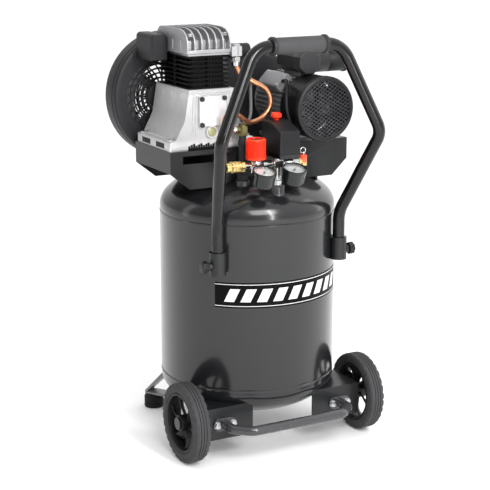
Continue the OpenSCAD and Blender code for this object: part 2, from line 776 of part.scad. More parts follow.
module breather_tube() {
    color("gray") at_home() sweep(smooth([[-10, -16, 805.2], [-10, -16, 799.5], [-12, -27, 787],
        [-17, -46, 764], [-20, -52, 738], [-21, -55, 708], [-23, -56, 692], [-28, -56, 682],
        [-37, -55, 677], [-46.2, -55, 676]], 3), 3.5, 10, [1, 0, 0]);
}
module unloader_tube() {
    color("#555555") at_home() sweep(smooth([[-46, -96, 605], [-40, -96, 606], [-34, -97, 614],
        [-30, -100, 624], [-24, -104, 630], [-14.2, -106, 632]], 3), 2.5, 8, [0, 1, 0]);
}
module motor_cable() {
    color("black") at_home() sweep(smooth([[57, -50.1, 758], [56, -60, 759.5], [50, -76, 760],
        [40, -94, 750], [33, -106, 730], [31, -112, 708], [36, -112, 688], [41, -112, 673],
        [40, -112, 663], [32.1, -112, 660]], 3), 4, 10, [0, 0, 1]);
}

// ---- Pressure switch, regulator and gauges ----
module switch_body() {
    color("#2b2b2b") at_home() difference() {
        union() {
            translate([switch_x[1], 0, 0]) rotate([0, -90, 0])
                linear_extrude(switch_x[1] - switch_x[0]) polygon([[switch_z0, switch_y[0]],
                    [switch_z0, switch_y[1]], [switch_z1 + switch_rise, switch_y[1]],
                    [switch_z1 + switch_rise, switch_y[1] - 36], [switch_z1, switch_y[0]]]);
        }
        translate([10, -106, switch_z1 + 4]) cylinder(r = 6, h = 20);
    }
}
module switch_knob() {
    color("red") at_home() translate([10, -106, switch_z1 + 6]) {
        cylinder(r = 5.7, h = 16);
        translate([0, 0, 14]) cylinder(r = 11, h = 12);
    }
}
module manifold() {
    color("silver") at_home() {
        translate([tee[0], tee[1], 545]) cylinder(r = 9, h = switch_z0 - 545);
        translate([reg_x + 15, tee[1], tee_z]) along_x() cylinder(r = 8, h = 82);
        translate([gauge_x[1], tee[1], tee_z - 4]) rotate([90, 0, 0]) cylinder(r = 6, h = 14.6);
    }
}
module regulator_body() {
    color("silver") at_home() translate([reg_x, tee[1], 0]) {
        translate([0, 0, 590]) cylinder(r = 12, h = 26);
        translate([0, 0, tee_z - 8]) rotate([0, 0, 30]) hex_head(30, 18);
        translate([0, 0, tee_z]) cylinder(r = 4 - RUN, h = 28);
        translate([-26, 0, tee_z]) along_x() cylinder(r = 7, h = 12);
    }
}
module regulator_knob() {
    color("orangered") at_home() translate([reg_x, tee[1], tee_z + 12 + GAP]) difference() {
        cylinder(r = 21, h = 42);
        translate([0, 0, 36]) cylinder(r = 15, h = 7);
        translate([0, 0, -1]) cylinder(r = 4, h = 20);
    }
}
module outlet_coupling() {
    color("goldenrod") at_home() translate([reg_x - 26, tee[1], tee_z]) rotate([0, -90, 0]) difference() {
        union() {
            hex_head(19, 8);
            translate([0, 0, 8]) cylinder(r = 12, h = 24);
            translate([0, 0, 32]) cylinder(r = 10, h = 10);
        }
        translate([0, 0, 20]) cylinder(r = 5.5, h = 23);
    }
}
module at_gauge(i) { translate([gauge_x[i], gauge_y, gauge_z]) rotate([gauge_tilt, 0, 0]) children(); }
module gauge_bodies() {
    color("#303030") at_home() for (i = [0, 1]) at_gauge(i) difference() {
        translate([0, 0, -gauge_depth]) cylinder(r = gauge_r, h = gauge_depth + 3);
        translate([0, 0, -6]) cylinder(r = gauge_r - 2, h = 10);
    }
}
module gauge_lenses() {
    color("white") at_home() for (i = [0, 1]) at_gauge(i) translate([0, 0, 0.2])
        cylinder(r = gauge_r - 2, h = 1.8);
}
module needle(i) {
    color("black") at_home() at_gauge(i) translate([0, 0, -3]) {
        cylinder(r = 2.5, h = 1.6);
        rotate([0, 0, 225]) translate([-5, -0.8, 0]) cube([20, 1.6, 1]);
    }
}
module left_needle() { needle(0); }
module right_needle() { needle(1); }
module safety_valve() {
    color("tomato") at_home() translate([40, tee[1], tee_z]) {
        along_x() cylinder(r = 8, h = 6);
        difference() {
            translate([12, 0, -9]) hex_head(17, 22);
            translate([12, 0, 4]) cylinder(r = 2.6, h = 10);
        }
    }
}
module safety_ring() {
    color("silver") at_home() translate([52, tee[1], tee_z + 6]) {
        cylinder(r = 2.2, h = 13);
        translate([0, 0, 10]) rotate([90, 0, 0]) translate([0, 5, -1])
            rotate_extrude($fn = 32) translate([6, 0]) circle(r = 1.2, $fn = 16);
    }
}

// ---- Handle ----
module handle_clamps() {
    color("gray") at_home() both_sides() difference() {
        union() {
            translate([clamp_x, clamp_y, clamp_low])
                cylinder(r = handle_r + 0.2 + clamp_wall, h = clamp_high - clamp_low);
            translate([clamp_x + 10, clamp_y, knob_z]) along_x() cylinder(r = 8, h = 12);
        }
        translate([clamp_x, clamp_y, clamp_low + clamp_floor])
            cylinder(r = handle_r + 0.2, h = clamp_high);
        translate([clamp_x, clamp_y, knob_z]) along_x() cylinder(r = 4 + RUN, h = 30);
        tank_solid(GAP / 3);
    }
}
module handle_tube() {
    color("black") at_home() sweep(handle_path, handle_r, 24, [1, 0, 0]);
}
module handle_grip() {
    color("dimgray") at_home() translate([-62, -grip_ahead, grip_z]) along_x() {
        ring(16.5, handle_r + 0.05, 124);
        for (x = [0, 116]) translate([0, 0, x]) ring(18.5, 16, 8);
    }
}
module clamp_knob() {
    translate([clamp_x + handle_r + GAP, clamp_y, knob_z]) along_x() {
        cylinder(r = 4, h = 14);
        translate([0, 0, 22.3 - handle_r]) cylinder(r = 13, h = 13);
    }
}
module left_clamp_knob() { color("black") at_home() mirror([1, 0, 0]) clamp_knob(); }
module right_clamp_knob() { color("black") at_home() clamp_knob(); }

// ---- Fasteners ----
module cap_bolt(across, h, r, shank) {
    hex_head(across, h);
    translate([0, 0, -shank]) cylinder(r = r, h = shank + EPS);
}
module fasteners() {
    color("silver") at_home() {
        for (s = SIDES, y = [case_front + 14, case_back - 14])
            translate([-pump_x + s * (case_base_w / 2 - 8), y, deck_z + case_base_h + 0.1])
                cap_bolt(13, 5, 4, case_base_h);
        for (s = SIDES, t = SIDES) pump_frame() translate([s * 25, case_front - 6, t * 26])
            rotate([90, 0, 0]) cap_bolt(10, 4, 2.5, 0);
        for (s = SIDES, y = [-50, 10, 70]) translate([-pump_x + s * 38.2, y, head_low + 34])
            cap_bolt(10, 6, 3, 0);
        for (s = SIDES, k = SIDES)
            translate([s * bar_end + k * bar_bolt_pitch / 2, -bracket_front - 3, bar_z])
                rotate([90, 0, 0]) cap_bolt(13, 5.5, 4, 3);
    }
}

tank();
platform();
axle_brackets();
rear_legs();
rear_feet();
handle_clamps();
foot_bar();
fasteners();
drain_valve();
drain_knob();
left_tyre();
left_rim();
right_tyre();
right_rim();
crankcase();
crankcase_cover();
sight_glass();
filler_cap();
cylinder_block();
valve_plate();
cylinder_head();
air_filter();
crankshaft();
bearings();
flywheel();
front_piston();
rear_piston();
drive_belt();
guard_back();
guard_front();
motor_frame();
end_shields();
fan_cowl();
terminal_cover();
terminal_box();
capacitor_can();
rotor();
cooling_fan();
motor_pulley();
delivery_pipe();
check_valve();
breather_tube();
unloader_tube();
motor_cable();
switch_body();
switch_knob();
manifold();
regulator_body();
regulator_knob();
outlet_coupling();
gauge_bodies();
gauge_lenses();
left_needle();
right_needle();
safety_valve();
safety_ring();
handle_tube();
handle_grip();
left_clamp_knob();
right_clamp_knob();
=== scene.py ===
import bpy
import bmesh
from math import acos, atan2, cos, hypot, pi, radians, sin, tan
from mathutils import Matrix, Vector


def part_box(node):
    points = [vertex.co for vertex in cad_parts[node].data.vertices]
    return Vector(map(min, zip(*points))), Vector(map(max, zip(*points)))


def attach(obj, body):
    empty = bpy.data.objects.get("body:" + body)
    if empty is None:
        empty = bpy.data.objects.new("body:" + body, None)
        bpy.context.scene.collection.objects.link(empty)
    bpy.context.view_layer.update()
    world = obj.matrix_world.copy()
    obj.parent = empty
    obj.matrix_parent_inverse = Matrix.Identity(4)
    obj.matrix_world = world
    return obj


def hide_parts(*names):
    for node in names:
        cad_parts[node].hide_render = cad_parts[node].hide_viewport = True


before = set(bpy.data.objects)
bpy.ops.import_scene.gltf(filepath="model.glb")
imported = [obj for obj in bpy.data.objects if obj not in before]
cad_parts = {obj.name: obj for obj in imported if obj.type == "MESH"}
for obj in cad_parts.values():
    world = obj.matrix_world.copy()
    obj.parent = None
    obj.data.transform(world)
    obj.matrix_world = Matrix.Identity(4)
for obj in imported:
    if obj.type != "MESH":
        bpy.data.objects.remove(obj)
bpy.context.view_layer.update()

# Lengths below are in millimetres about the tank's axis, with the floor at z = 0.
MM = 0.001
tank_low, tank_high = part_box("tank")
HOME = Vector(((tank_low.x + tank_high.x) / 2, (tank_low.y + tank_high.y) / 2, 0))


def at(p):
    return HOME + Vector(p) * MM


# ---------------------------------------------------------------- materials
def put(node, values):
    """Sets a node's inputs by name."""
    for name, value in values.items():
        node.inputs[name].default_value = value


def surface(name, color, rough=0.5, metal=0.0, coat=0.0, grain=(0.0, 300.0), mottle=0.12, mottle_scale=9.0,
            rough_spread=0.12, wear=None, specular=0.5, alpha=1.0, transmission=0.0, brushed=None):
    """A shader with mottled colour, uneven roughness, a fine bump and worn edges."""
    m = bpy.data.materials.new(name)
    m.use_nodes = True
    nodes, links = m.node_tree.nodes, m.node_tree.links
    shader = nodes["Principled BSDF"]
    coord = nodes.new("ShaderNodeTexCoord").outputs["Object"]

    def noise(scale, detail, vector=coord):
        node = nodes.new("ShaderNodeTexNoise")
        put(node, {"Scale": scale, "Detail": detail})
        links.new(vector, node.inputs["Vector"])
        return node

    cloud = noise(mottle_scale, 6)
    put(cloud, {"Roughness": 0.65})
    ramp = nodes.new("ShaderNodeValToRGB")
    for stop, place, shade in zip(ramp.color_ramp.elements, (0.3, 0.7), (1 - mottle, 1 + mottle)):
        stop.position = place
        stop.color = (*[min(1.0, c * shade) for c in color], 1)
    links.new(cloud.outputs["Fac"], ramp.inputs["Fac"])
    tint = ramp.outputs["Color"]
    if wear:
        geometry = nodes.new("ShaderNodeNewGeometry")
        edge = nodes.new("ShaderNodeMapRange")
        put(edge, {"From Min": 0.53, "From Max": 0.62})
        links.new(geometry.outputs["Pointiness"], edge.inputs["Value"])
        worn = nodes.new("ShaderNodeMath")
        worn.operation = "MULTIPLY"
        links.new(edge.outputs["Result"], worn.inputs[0])
        links.new(noise(60, 5).outputs["Fac"], worn.inputs[1])
        mix = nodes.new("ShaderNodeMix")
        mix.data_type = "RGBA"
        links.new(worn.outputs["Value"], mix.inputs["Factor"])
        links.new(tint, mix.inputs["A"])
        mix.inputs["B"].default_value = (*wear, 1)
        tint = mix.outputs["Result"]
    links.new(tint, shader.inputs["Base Color"])
    spread = nodes.new("ShaderNodeMapRange")
    put(spread, {"To Min": max(0.02, rough - rough_spread), "To Max": min(1.0, rough + rough_spread)})
    links.new(noise(mottle_scale * 3.1, 8).outputs["Fac"], spread.inputs["Value"])
    links.new(spread.outputs["Result"], shader.inputs["Roughness"])
    if grain[0] > 0:
        vector = coord
        if brushed:
            stretch = nodes.new("ShaderNodeMapping")
            put(stretch, {"Scale": brushed})
            links.new(coord, stretch.inputs["Vector"])
            vector = stretch.outputs["Vector"]
        bump = nodes.new("ShaderNodeBump")
        put(bump, {"Strength": grain[0], "Distance": 0.0006})
        links.new(noise(grain[1], 4, vector).outputs["Fac"], bump.inputs["Height"])
        links.new(bump.outputs["Normal"], shader.inputs["Normal"])
    put(shader, {"Metallic": metal, "Coat Weight": coat, "Coat Roughness": 0.12,
                 "Specular IOR Level": specular,
                 "Alpha": alpha, "Transmission Weight": transmission})
    return m


paint = surface("tank_enamel", (0.011, 0.0113, 0.0125), 0.2, grain=(0.06, 160), mottle=0.05,
                mottle_scale=4, rough_spread=0.03, wear=(0.16, 0.16, 0.17), coat=0.4, specular=0.33)
chassis = surface("chassis_enamel", (0.01, 0.0105, 0.0115), 0.34, grain=(0.1, 240), mottle=0.04,
                  rough_spread=0.03, coat=0.12, specular=0.3)
handle_black = surface("handle_enamel", (0.003, 0.003, 0.0034), 0.1, grain=(0.05, 200), mottle=0.1,
                       rough_spread=0.06, coat=0.35, specular=0.2)
cast = surface("cast_aluminium", (0.34, 0.34, 0.35), 0.42, metal=0.75, grain=(0.55, 900), mottle=0.07,
               mottle_scale=24, wear=(0.85, 0.85, 0.86))
cast_white = surface("case_aluminium", (0.44, 0.44, 0.445), 0.5, metal=0.35, grain=(0.5, 800), mottle=0.05,
                     mottle_scale=20, wear=(0.9, 0.9, 0.9), specular=0.35)
machined = surface("machined_steel", (0.45, 0.45, 0.46), 0.3, metal=1.0, grain=(0.25, 500),
                   brushed=(1, 30, 1),
                   mottle=0.08)
zinc = surface("zinc_bolts", (0.5, 0.5, 0.51), 0.28, metal=1.0, grain=(0.15, 700), mottle=0.1,
               mottle_scale=60)
nickel = surface("nickel_plate", (0.55, 0.55, 0.54), 0.22, metal=1.0, grain=(0.12, 400), mottle=0.1,
                 mottle_scale=50)
brass = surface("brass_fittings", (0.66, 0.5, 0.2), 0.27, metal=1.0, grain=(0.15, 500), mottle=0.16,
                mottle_scale=50, wear=(0.9, 0.78, 0.45))
# Brass painted dark olive as painted shade: the check valve's head sits in shadow, and this colour stands in
# for that shade
shaded_brass = surface("brass_painted_shade", (0.1, 0.09, 0.03), 0.36, metal=0.8, grain=(0.2, 500), mottle=0.3,
                      mottle_scale=60, wear=(0.5, 0.45, 0.2))
copper = surface("copper_pipe", (0.56, 0.25, 0.13), 0.3, metal=0.9, grain=(0.12, 300), mottle=0.22,
                 mottle_scale=34)
# Black enamel of the cylinder block, also used as painted shade for the crankcase's pockets and its gap strip
block_black = surface("black_enamel_and_painted_shade", (0.0035, 0.0035, 0.004), 0.34, grain=(0.5, 700), mottle=0.15,
                      coat=0.0, specular=0.1)
iron = surface("flywheel_iron", (0.13, 0.13, 0.135), 0.5, metal=0.6, grain=(0.5, 700), mottle=0.2)
guard_grey = surface("guard_moulding", (0.014, 0.0143, 0.016), 0.46, grain=(0.35, 1100), mottle=0.03,
                     rough_spread=0.04, specular=0.25)
black_plastic = surface("black_moulding", (0.006, 0.006, 0.007), 0.4, grain=(0.35, 1200), mottle=0.1,
                        wear=(0.08, 0.08, 0.085), specular=0.25)
grey_plastic = surface("grey_moulding", (0.03, 0.03, 0.032), 0.45, grain=(0.3, 1200), mottle=0.07,
                       wear=(0.2, 0.2, 0.2), specular=0.3)
tyre_rubber = surface("tyre_rubber", (0.046, 0.046, 0.048), 0.72, grain=(0.6, 900), mottle=0.14,
                      mottle_scale=30, specular=0.2)
rim_black = surface("rim_moulding", (0.007, 0.007, 0.008), 0.42, grain=(0.3, 1000), mottle=0.12,
                    wear=(0.1, 0.1, 0.1), specular=0.25)
soft_rubber = surface("foot_rubber", (0.009, 0.009, 0.0095), 0.65, grain=(0.5, 900), mottle=0.2, specular=0.2)
grip_rubber = surface("grip_rubber", (0.05, 0.05, 0.052), 0.62, grain=(0.5, 1000), mottle=0.06, specular=0.25)
cover_grey = surface("cover_enamel", (0.27, 0.27, 0.28), 0.35, metal=0.2, grain=(0.2, 500), mottle=0.06,
                     wear=(0.5, 0.5, 0.5), specular=0.4)
tube_grey = surface("tube_sleeve", (0.12, 0.12, 0.124), 0.38, grain=(0.15, 500), mottle=0.1)
cable_black = surface("cable_sheath", (0.006, 0.006, 0.0065), 0.5, grain=(0.3, 700), mottle=0.12,
                      specular=0.25)
red = surface("red_moulding", (0.82, 0.02, 0.002), 0.3, grain=(0.15, 700), mottle=0.08,
              mottle_scale=30, wear=(0.95, 0.3, 0.15), coat=0.05, specular=0.15)
dial_white = surface("dial_print", (0.74, 0.75, 0.74), 0.4, grain=(0.04, 300), mottle=0.02)
ink = surface("dial_ink", (0.02, 0.02, 0.02), 0.5, grain=(0.1, 600), mottle=0.1)
band_black = surface("band_film", (0.0015, 0.0015, 0.0017), 0.35, grain=(0.05, 200), mottle=0.1, coat=0.0,
                     specular=0.08)
band_white = surface("band_print", (0.66, 0.66, 0.66), 0.32, coat=0.2, grain=(0.05, 200), mottle=0.03)
glass = surface("gauge_glass", (0.95, 0.96, 0.96), 0.06, grain=(0.02, 200), mottle=0.01, rough_spread=0.02,
                transmission=0.95, alpha=0.35)
oil_glass = surface("sight_lens", (0.3, 0.31, 0.15), 0.12, coat=0.6, grain=(0.05, 300), mottle=0.2,
                    mottle_scale=60)
leg_grey = surface("leg_enamel", (0.17, 0.172, 0.178), 0.38, coat=0.2, grain=(0.15, 300), mottle=0.07,
                   wear=(0.55, 0.55, 0.55))
bar_grey = surface("bar_enamel", (0.06, 0.06, 0.064), 0.26, metal=0.5, grain=(0.1, 240), mottle=0.08,
                   coat=0.3, specular=0.4)
gauge_black = surface("gauge_enamel", (0.007, 0.009, 0.009), 0.2, grain=(0.05, 300), mottle=0.1, coat=0.3,
                      specular=0.3)
dark_steel = surface("dark_steel", (0.012, 0.012, 0.013), 0.7, grain=(0.2, 500), mottle=0.2)
floor_paint = surface("studio_floor", (0.96, 0.96, 0.96), 0.75, grain=(0.05, 40), mottle=0.01, specular=0.2)


# ---------------------------------------------------------------- mesh tools
# A turned solid ends at this radius instead of zero, so that no face has zero area
NEAR_AXIS = 0.01


class Shape:
    """Vertices and faces gathered from simple solids, in millimetres."""

    def __init__(self):
        self.verts = []
        self.faces = []

    def add(self, verts, faces):
        base = len(self.verts)
        self.verts += [Vector(v) for v in verts]
        self.faces += [[base + i for i in f] for f in faces]
        return self

    def loops(self, rings, closed=False, caps=True):
        """Skins a list of rings that all have the same number of points."""
        n = len(rings[0])
        count = len(rings)
        faces = []
        for i in range(count if closed else count - 1):
            a, b = i * n, ((i + 1) % count) * n
            faces += [[a + k, a + (k + 1) % n, b + (k + 1) % n, b + k] for k in range(n)]
        if caps and not closed:
            faces += [list(range(n))[::-1], [(count - 1) * n + k for k in range(n)]]
        return self.add([p for r in rings for p in r], faces)

    def prism(self, outline, axis, a, b):
        return self.loops([[lift(u, v, w, axis) for u, v in outline] for w in (a, b)])

    def box(self, low, high):
        (x0, y0, z0), (x1, y1, z1) = low, high
        return self.prism([(x0, y0), (x1, y0), (x1, y1), (x0, y1)], "z", z0, z1)

    def lathe(self, profile, centre=(0, 0, 0), axis="z", n=64, closed=False, caps=True):
        """Turns a profile of (radius, distance along the axis) points."""
        rings = []
        for r, w in profile:
            ring = [lift(r * cos(2 * pi * k / n), r * sin(2 * pi * k / n), w, axis) for k in range(n)]
            rings.append([Vector(p) + Vector(centre) for p in ring])
        return self.loops(rings, closed, caps)

    def turned(self, profile, centre=(0, 0, 0), axis="z", n=64):
        """Turns a profile and closes both of its ends at the axis."""
        first, last = (NEAR_AXIS, profile[0][1]), (NEAR_AXIS, profile[-1][1])
        return self.lathe([first] + profile + [last], centre, axis, n)

    def rod(self, r, a, b, centre=(0, 0, 0), axis="z", n=64):
        """A plain cylinder from a to b along the axis."""
        return self.turned([(r, a), (r, b)], centre, axis, n)

    def blade(self, angle, r0, r1, half0, half1, w0, w1):
        """A flat bar along a ray from the z axis, with a half width at each end."""
        u, v = Vector((cos(angle), sin(angle), 0)), Vector((-sin(angle), cos(angle), 0))
        return self.loops([[u * r + v * h + Vector((0, 0, w)) for r, h in
                            ((r0, -half0), (r1, -half1), (r1, half1), (r0, half0))] for w in (w0, w1)])

    def lobed(self, profile, lobes, centre=(0, 0, 0), axis="z", n=96):
        """Turns (radius, depth of the lobes, distance along the axis) points into a wavy knob."""
        rings = []
        for r, depth, w in profile:
            ring = []
            for k in range(n):
                a = 2 * pi * k / n
                reach = r + depth * cos(lobes * a)
                ring.append(Vector(lift(reach * cos(a), reach * sin(a), w, axis)) + Vector(centre))
            rings.append(ring)
        return self.loops(rings)

    def tube(self, path, radius, n=20, start=(0, 0, 1)):
        """Sweeps a circle along a path without twisting it."""
        rings = []
        side = Vector(start)
        pts = [Vector(p) for p in path]
        for i, p in enumerate(pts):
            t = (pts[min(i + 1, len(pts) - 1)] - pts[max(i - 1, 0)]).normalized()
            side = (side - side.dot(t) * t).normalized()
            other = t.cross(side)
            rings.append([p + radius * (cos(2 * pi * k / n) * side + sin(2 * pi * k / n) * other)
                          for k in range(n)])
        return self.loops(rings)

    def collar(self, outer, inner, axis, a, b):
        """A flat ring between two outlines that have the same number of points."""
        rings = [[lift(u, v, w, axis) for u, v in outline]
                 for outline, w in ((outer, a), (outer, b), (inner, b), (inner, a))]
        return self.loops(rings, closed=True)

    def hexagon(self, centre, axis, across, height, turn=0.0):
        """A bolt head with a chamfered top; a negative height points down the axis."""
        r = across / 2 / cos(pi / 6)
        rings = []
        for scale, w in ((1, 0), (1, 0.8 * height), (0.84, height)):
            ring = [lift(r * scale * cos(pi / 3 * k + turn), r * scale * sin(pi / 3 * k + turn), w, axis)
                    for k in range(6)]
            rings.append([Vector(p) + Vector(centre) for p in ring])
        return self.loops(rings)

    def moved(self, matrix, start=0):
        for i in range(start, len(self.verts)):
            self.verts[i] = matrix @ self.verts[i]
        return self

    def make(self, name, material, slot, replaces=(), bevel=0.0, segments=2, smooth=40, limit=30,
             body="frame"):
        mesh = bpy.data.meshes.new(name)
        mesh.from_pydata([at(v) for v in self.verts], [], self.faces)
        return settle(mesh, name, material, body, replaces, bevel, segments, smooth, limit)


def lift(u, v, w, axis):
    return {"x": (w, u, v), "y": (u, w, v), "z": (u, v, w)}[axis]


def settle(mesh, name, material, body, replaces=(), bevel=0.0, segments=2, smooth=40, limit=30):
    bm = bmesh.new()
    bm.from_mesh(mesh)
    bmesh.ops.recalc_face_normals(bm, faces=bm.faces)
    bm.to_mesh(mesh)
    bm.free()
    for p in mesh.polygons:
        p.use_smooth = True
    mesh.set_sharp_from_angle(angle=radians(smooth))
    piece = bpy.data.objects.new(name, mesh)
    bpy.context.scene.collection.objects.link(piece)
    mesh.materials.clear()
    mesh.materials.append(material)
    if bevel:
        mod = piece.modifiers.new("edges", "BEVEL")
        mod.width = bevel * MM
        mod.segments = segments
        mod.limit_method = "ANGLE"
        mod.angle_limit = radians(limit)
        mod.harden_normals = True
    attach(piece, body)
    if replaces:
        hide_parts(*replaces)
    return piece


def soften(node, material, bevel=1.0, segments=2, smooth=35, limit=30, body="frame"):
    """A copy of a CAD node with its flat faces joined and its edges rounded, shown in its place."""
    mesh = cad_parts[node].data.copy()
    bm = bmesh.new()
    bm.from_mesh(mesh)
    bmesh.ops.remove_doubles(bm, verts=bm.verts, dist=0.00001)
    bmesh.ops.dissolve_limit(bm, angle_limit=radians(1.5), verts=bm.verts, edges=bm.edges)
    bm.to_mesh(mesh)
    bm.free()
    return settle(mesh, node + "_part", material, body, (node,), bevel, segments, smooth, limit)


def circle_points(c, r, start, end, n):
    return [(c[0] + r * cos(start + (end - start) * k / n), c[1] + r * sin(start + (end - start) * k / n))
            for k in range(n + 1)]


def unit(v):
    return v.normalized()


def rounded(points, radii, steps=10):
    """The path through the points with each inner corner replaced by an arc."""
    pts = [Vector(p) for p in points]
    out = [pts[0]]
    for i in range(1, len(pts) - 1):
        b, r = pts[i], radii[i - 1]
        u, w = unit(pts[i - 1] - b), unit(pts[i + 1] - b)
        inner = acos(max(-1, min(1, u.dot(w))))
        mid = b + unit(u + w) * r / sin(inner / 2)
        turn = pi - inner
        s, e = unit(b + u * r / tan(inner / 2) - mid), unit(b + w * r / tan(inner / 2) - mid)
        out += [mid + r * (sin((1 - k / steps) * turn) * s + sin(k / steps * turn) * e) / sin(turn)
                for k in range(steps + 1)]
    return out + [pts[-1]]


def spline(points, steps=8):
    p = [Vector(q) for q in points]
    out = []
    for i in range(len(p) - 1):
        a, b, c, d = p[max(i - 1, 0)], p[i], p[i + 1], p[min(i + 2, len(p) - 1)]
        for k in range(steps):
            t = k / steps
            out.append(0.5 * (2 * b + (c - a) * t + (2 * a - 5 * b + 4 * c - d) * t * t
                              + (3 * b - a - 3 * c + d) * t * t * t))
    return out + [p[-1]]


# ---------------------------------------------------------------- camera and light
scene = bpy.context.scene
scene.view_settings.view_transform = "Standard"
CAMERA_AT = (-1402.9, -2587.1, 1123.1)
CAMERA_AIM = (-3.6, 2.1, 405.1)
camera_data = bpy.data.cameras.new("camera")
camera_data.lens = 104.24
camera_data.sensor_width = 36
camera_data.clip_end = 100
camera = bpy.data.objects.new("camera", camera_data)
camera.location = at(CAMERA_AT)
camera.rotation_euler = (at(CAMERA_AIM) - at(CAMERA_AT)).to_track_quat("-Z", "Y").to_euler()
scene.collection.objects.link(camera)
scene.camera = camera


def softbox(name, azimuth, elevation, distance, width, height, power, aim=(0, 0, 450)):
    a, e = radians(azimuth), radians(elevation)
    away = Vector((sin(a) * cos(e), -cos(a) * cos(e), sin(e)))
    data = bpy.data.lights.new(name, "AREA")
    data.shape = "RECTANGLE"
    data.size, data.size_y = width, height
    data.energy = power
    lamp = bpy.data.objects.new(name, data)
    lamp.location = at(aim) + away * distance
    lamp.rotation_euler = (-away).to_track_quat("-Z", "Y").to_euler()
    scene.collection.objects.link(lamp)


softbox("strip_key", 3, 18, 2.6, 0.14, 2.4, 30)
softbox("front_fill", -6, 34, 3.0, 1.6, 1.2, 52)
softbox("left_rim", -112, 12, 2.4, 0.4, 2.4, 4.5)
softbox("right_rim", 78, 20, 2.6, 0.5, 2.2, 6)

# A white studio, brighter overhead than at the horizon
world = bpy.data.worlds.new("studio")
scene.world = world
world.use_nodes = True
sky = world.node_tree
backdrop = sky.nodes["Background"]
backdrop.inputs["Color"].default_value = (1, 1, 1, 1)
sky_coord = sky.nodes.new("ShaderNodeTexCoord")
sky_split = sky.nodes.new("ShaderNodeSeparateXYZ")
sky_range = sky.nodes.new("ShaderNodeMapRange")
put(sky_range, {"To Min": 0.74, "To Max": 1.26})
sky.links.new(sky_coord.outputs["Generated"], sky_split.inputs["Vector"])
sky.links.new(sky_split.outputs["Z"], sky_range.inputs["Value"])
sky_side = sky.nodes.new("ShaderNodeMapRange")
put(sky_side, {"From Min": -1, "To Min": 0.45, "To Max": 1.65})
sky_mix = sky.nodes.new("ShaderNodeMath")
sky_mix.operation = "MULTIPLY"
sky.links.new(sky_split.outputs["X"], sky_side.inputs["Value"])
sky.links.new(sky_range.outputs["Result"], sky_mix.inputs[0])
sky.links.new(sky_side.outputs["Result"], sky_mix.inputs[1])
sky.links.new(sky_mix.outputs["Value"], backdrop.inputs["Strength"])

FLOOR_HALF = 20000
FLOOR_Z = -0.4
corners = ((-1, -1), (1, -1), (1, 1), (-1, 1))
floor_mesh = bpy.data.meshes.new("floor")
floor_mesh.from_pydata([at((x * FLOOR_HALF, y * FLOOR_HALF, FLOOR_Z)) for x, y in corners], [],
                       [[0, 1, 2, 3]])
floor_mesh.materials.append(floor_paint)
floor = bpy.data.objects.new("floor", floor_mesh)
scene.collection.objects.link(floor)

# ---------------------------------------------------------------- tank
TANK_R, SHELL_LOW, SHELL_HIGH, RISE, DROP = 185, 130, 500, 80, 72
TEE, VALVE = (-8, -142), (-62, -96)
STEPS = 22
profile = [(NEAR_AXIS, SHELL_LOW - DROP)]
profile += [(TANK_R * sin(pi / 2 * k / STEPS), SHELL_LOW - DROP * cos(pi / 2 * k / STEPS))
            for k in range(1, STEPS + 1)]
for weld in (137.5, 486):
    profile += [(TANK_R, weld - 4.4), (TANK_R + 0.55, weld - 2.6), (TANK_R + 0.6, weld),
                (TANK_R + 0.5, weld + 2.2),
                (TANK_R - 0.9, weld + 3.4), (TANK_R - 0.5, weld + 5.5), (TANK_R, weld + 8)]
profile += [(TANK_R * cos(pi / 2 * k / STEPS), SHELL_HIGH + RISE * sin(pi / 2 * k / STEPS))
            for k in range(STEPS)]
profile += [(NEAR_AXIS, SHELL_HIGH + RISE)]
tank = Shape().lathe(profile, n=144)
for (x, y), low, high in ((TEE, 540, 562), (VALVE, 545, 569)):
    tank.lathe([(16.5, low), (15.2, low + 8), (15, high - 1.5), (14, high), (9, high), (9, low)],
               (x, y, 0), n=40, closed=True)
tank.lathe([(14, 50), (14, 66), (6.5, 66), (6.5, 50)], n=32, closed=True)
tank.make("tank_shell", paint, "tank_paint", ("tank",), smooth=30)


def wrap(name, material, start, end, z0, z1, r0, r1, lean=0.0, n=60, rows=6):
    """A thin curved sheet on the tank between two angles; lean shifts its top edge round the tank."""
    rings = []
    for k in range(n + 1):
        ring = []
        for r, order in ((r1, range(rows + 1)), (r0, range(rows, -1, -1))):
            for j in order:
                a = radians(start + (end - start) * k / n + lean * j / rows)
                ring.append((r * cos(a), r * sin(a), z0 + (z1 - z0) * j / rows))
        rings.append(ring)
    return Shape().loops(rings).make(name, material, "tank_paint", smooth=30)


BAND_Z0, BAND_Z1 = 318, 371
BAND_START, BAND_END = -139, -32
wrap("band_film", band_black, BAND_START, BAND_END, BAND_Z0, BAND_Z1, 184.6, 185.25)
for i, z in enumerate((BAND_Z0 + 3.4, BAND_Z1 - 4.7)):
    wrap(f"band_line_{i}", band_white, BAND_START, BAND_END, z, z + 1.3, 185.1, 185.33)
# A plain row of equal leaning bars
for i in range(9):
    angle = BAND_START + 6 + 10.4 * i
    wrap(f"band_bar_{i}", band_white, angle, angle + 6.4, BAND_Z0 + 13, BAND_Z1 - 13, 185.1, 185.33, lean=4,
         n=8)

soften("platform", chassis, 1.3)
soften("handle_clamps", chassis, 1.0)
soften("rear_legs", leg_grey, 1.0)
soften("axle_brackets", chassis, 1.0)
soften("drain_valve", brass, 0.5)
soften("drain_knob", nickel, 0.8, body="drain_handle")

feet = Shape()
for s in (-1, 1):
    feet.turned([(20.5, 0), (22, 1.5), (22, 9), (20.6, 10.2), (20.6, 11.4), (22, 12.6), (22, 24),
                (20, 26.5), (20, 31), (18.5, 32)],
                (s * 242 * sin(radians(32.5)), 242 * cos(radians(32.5)), 0),
               n=48)
feet.make("foot_pads", soft_rubber, "feet_rubber", ("rear_feet",), smooth=30)

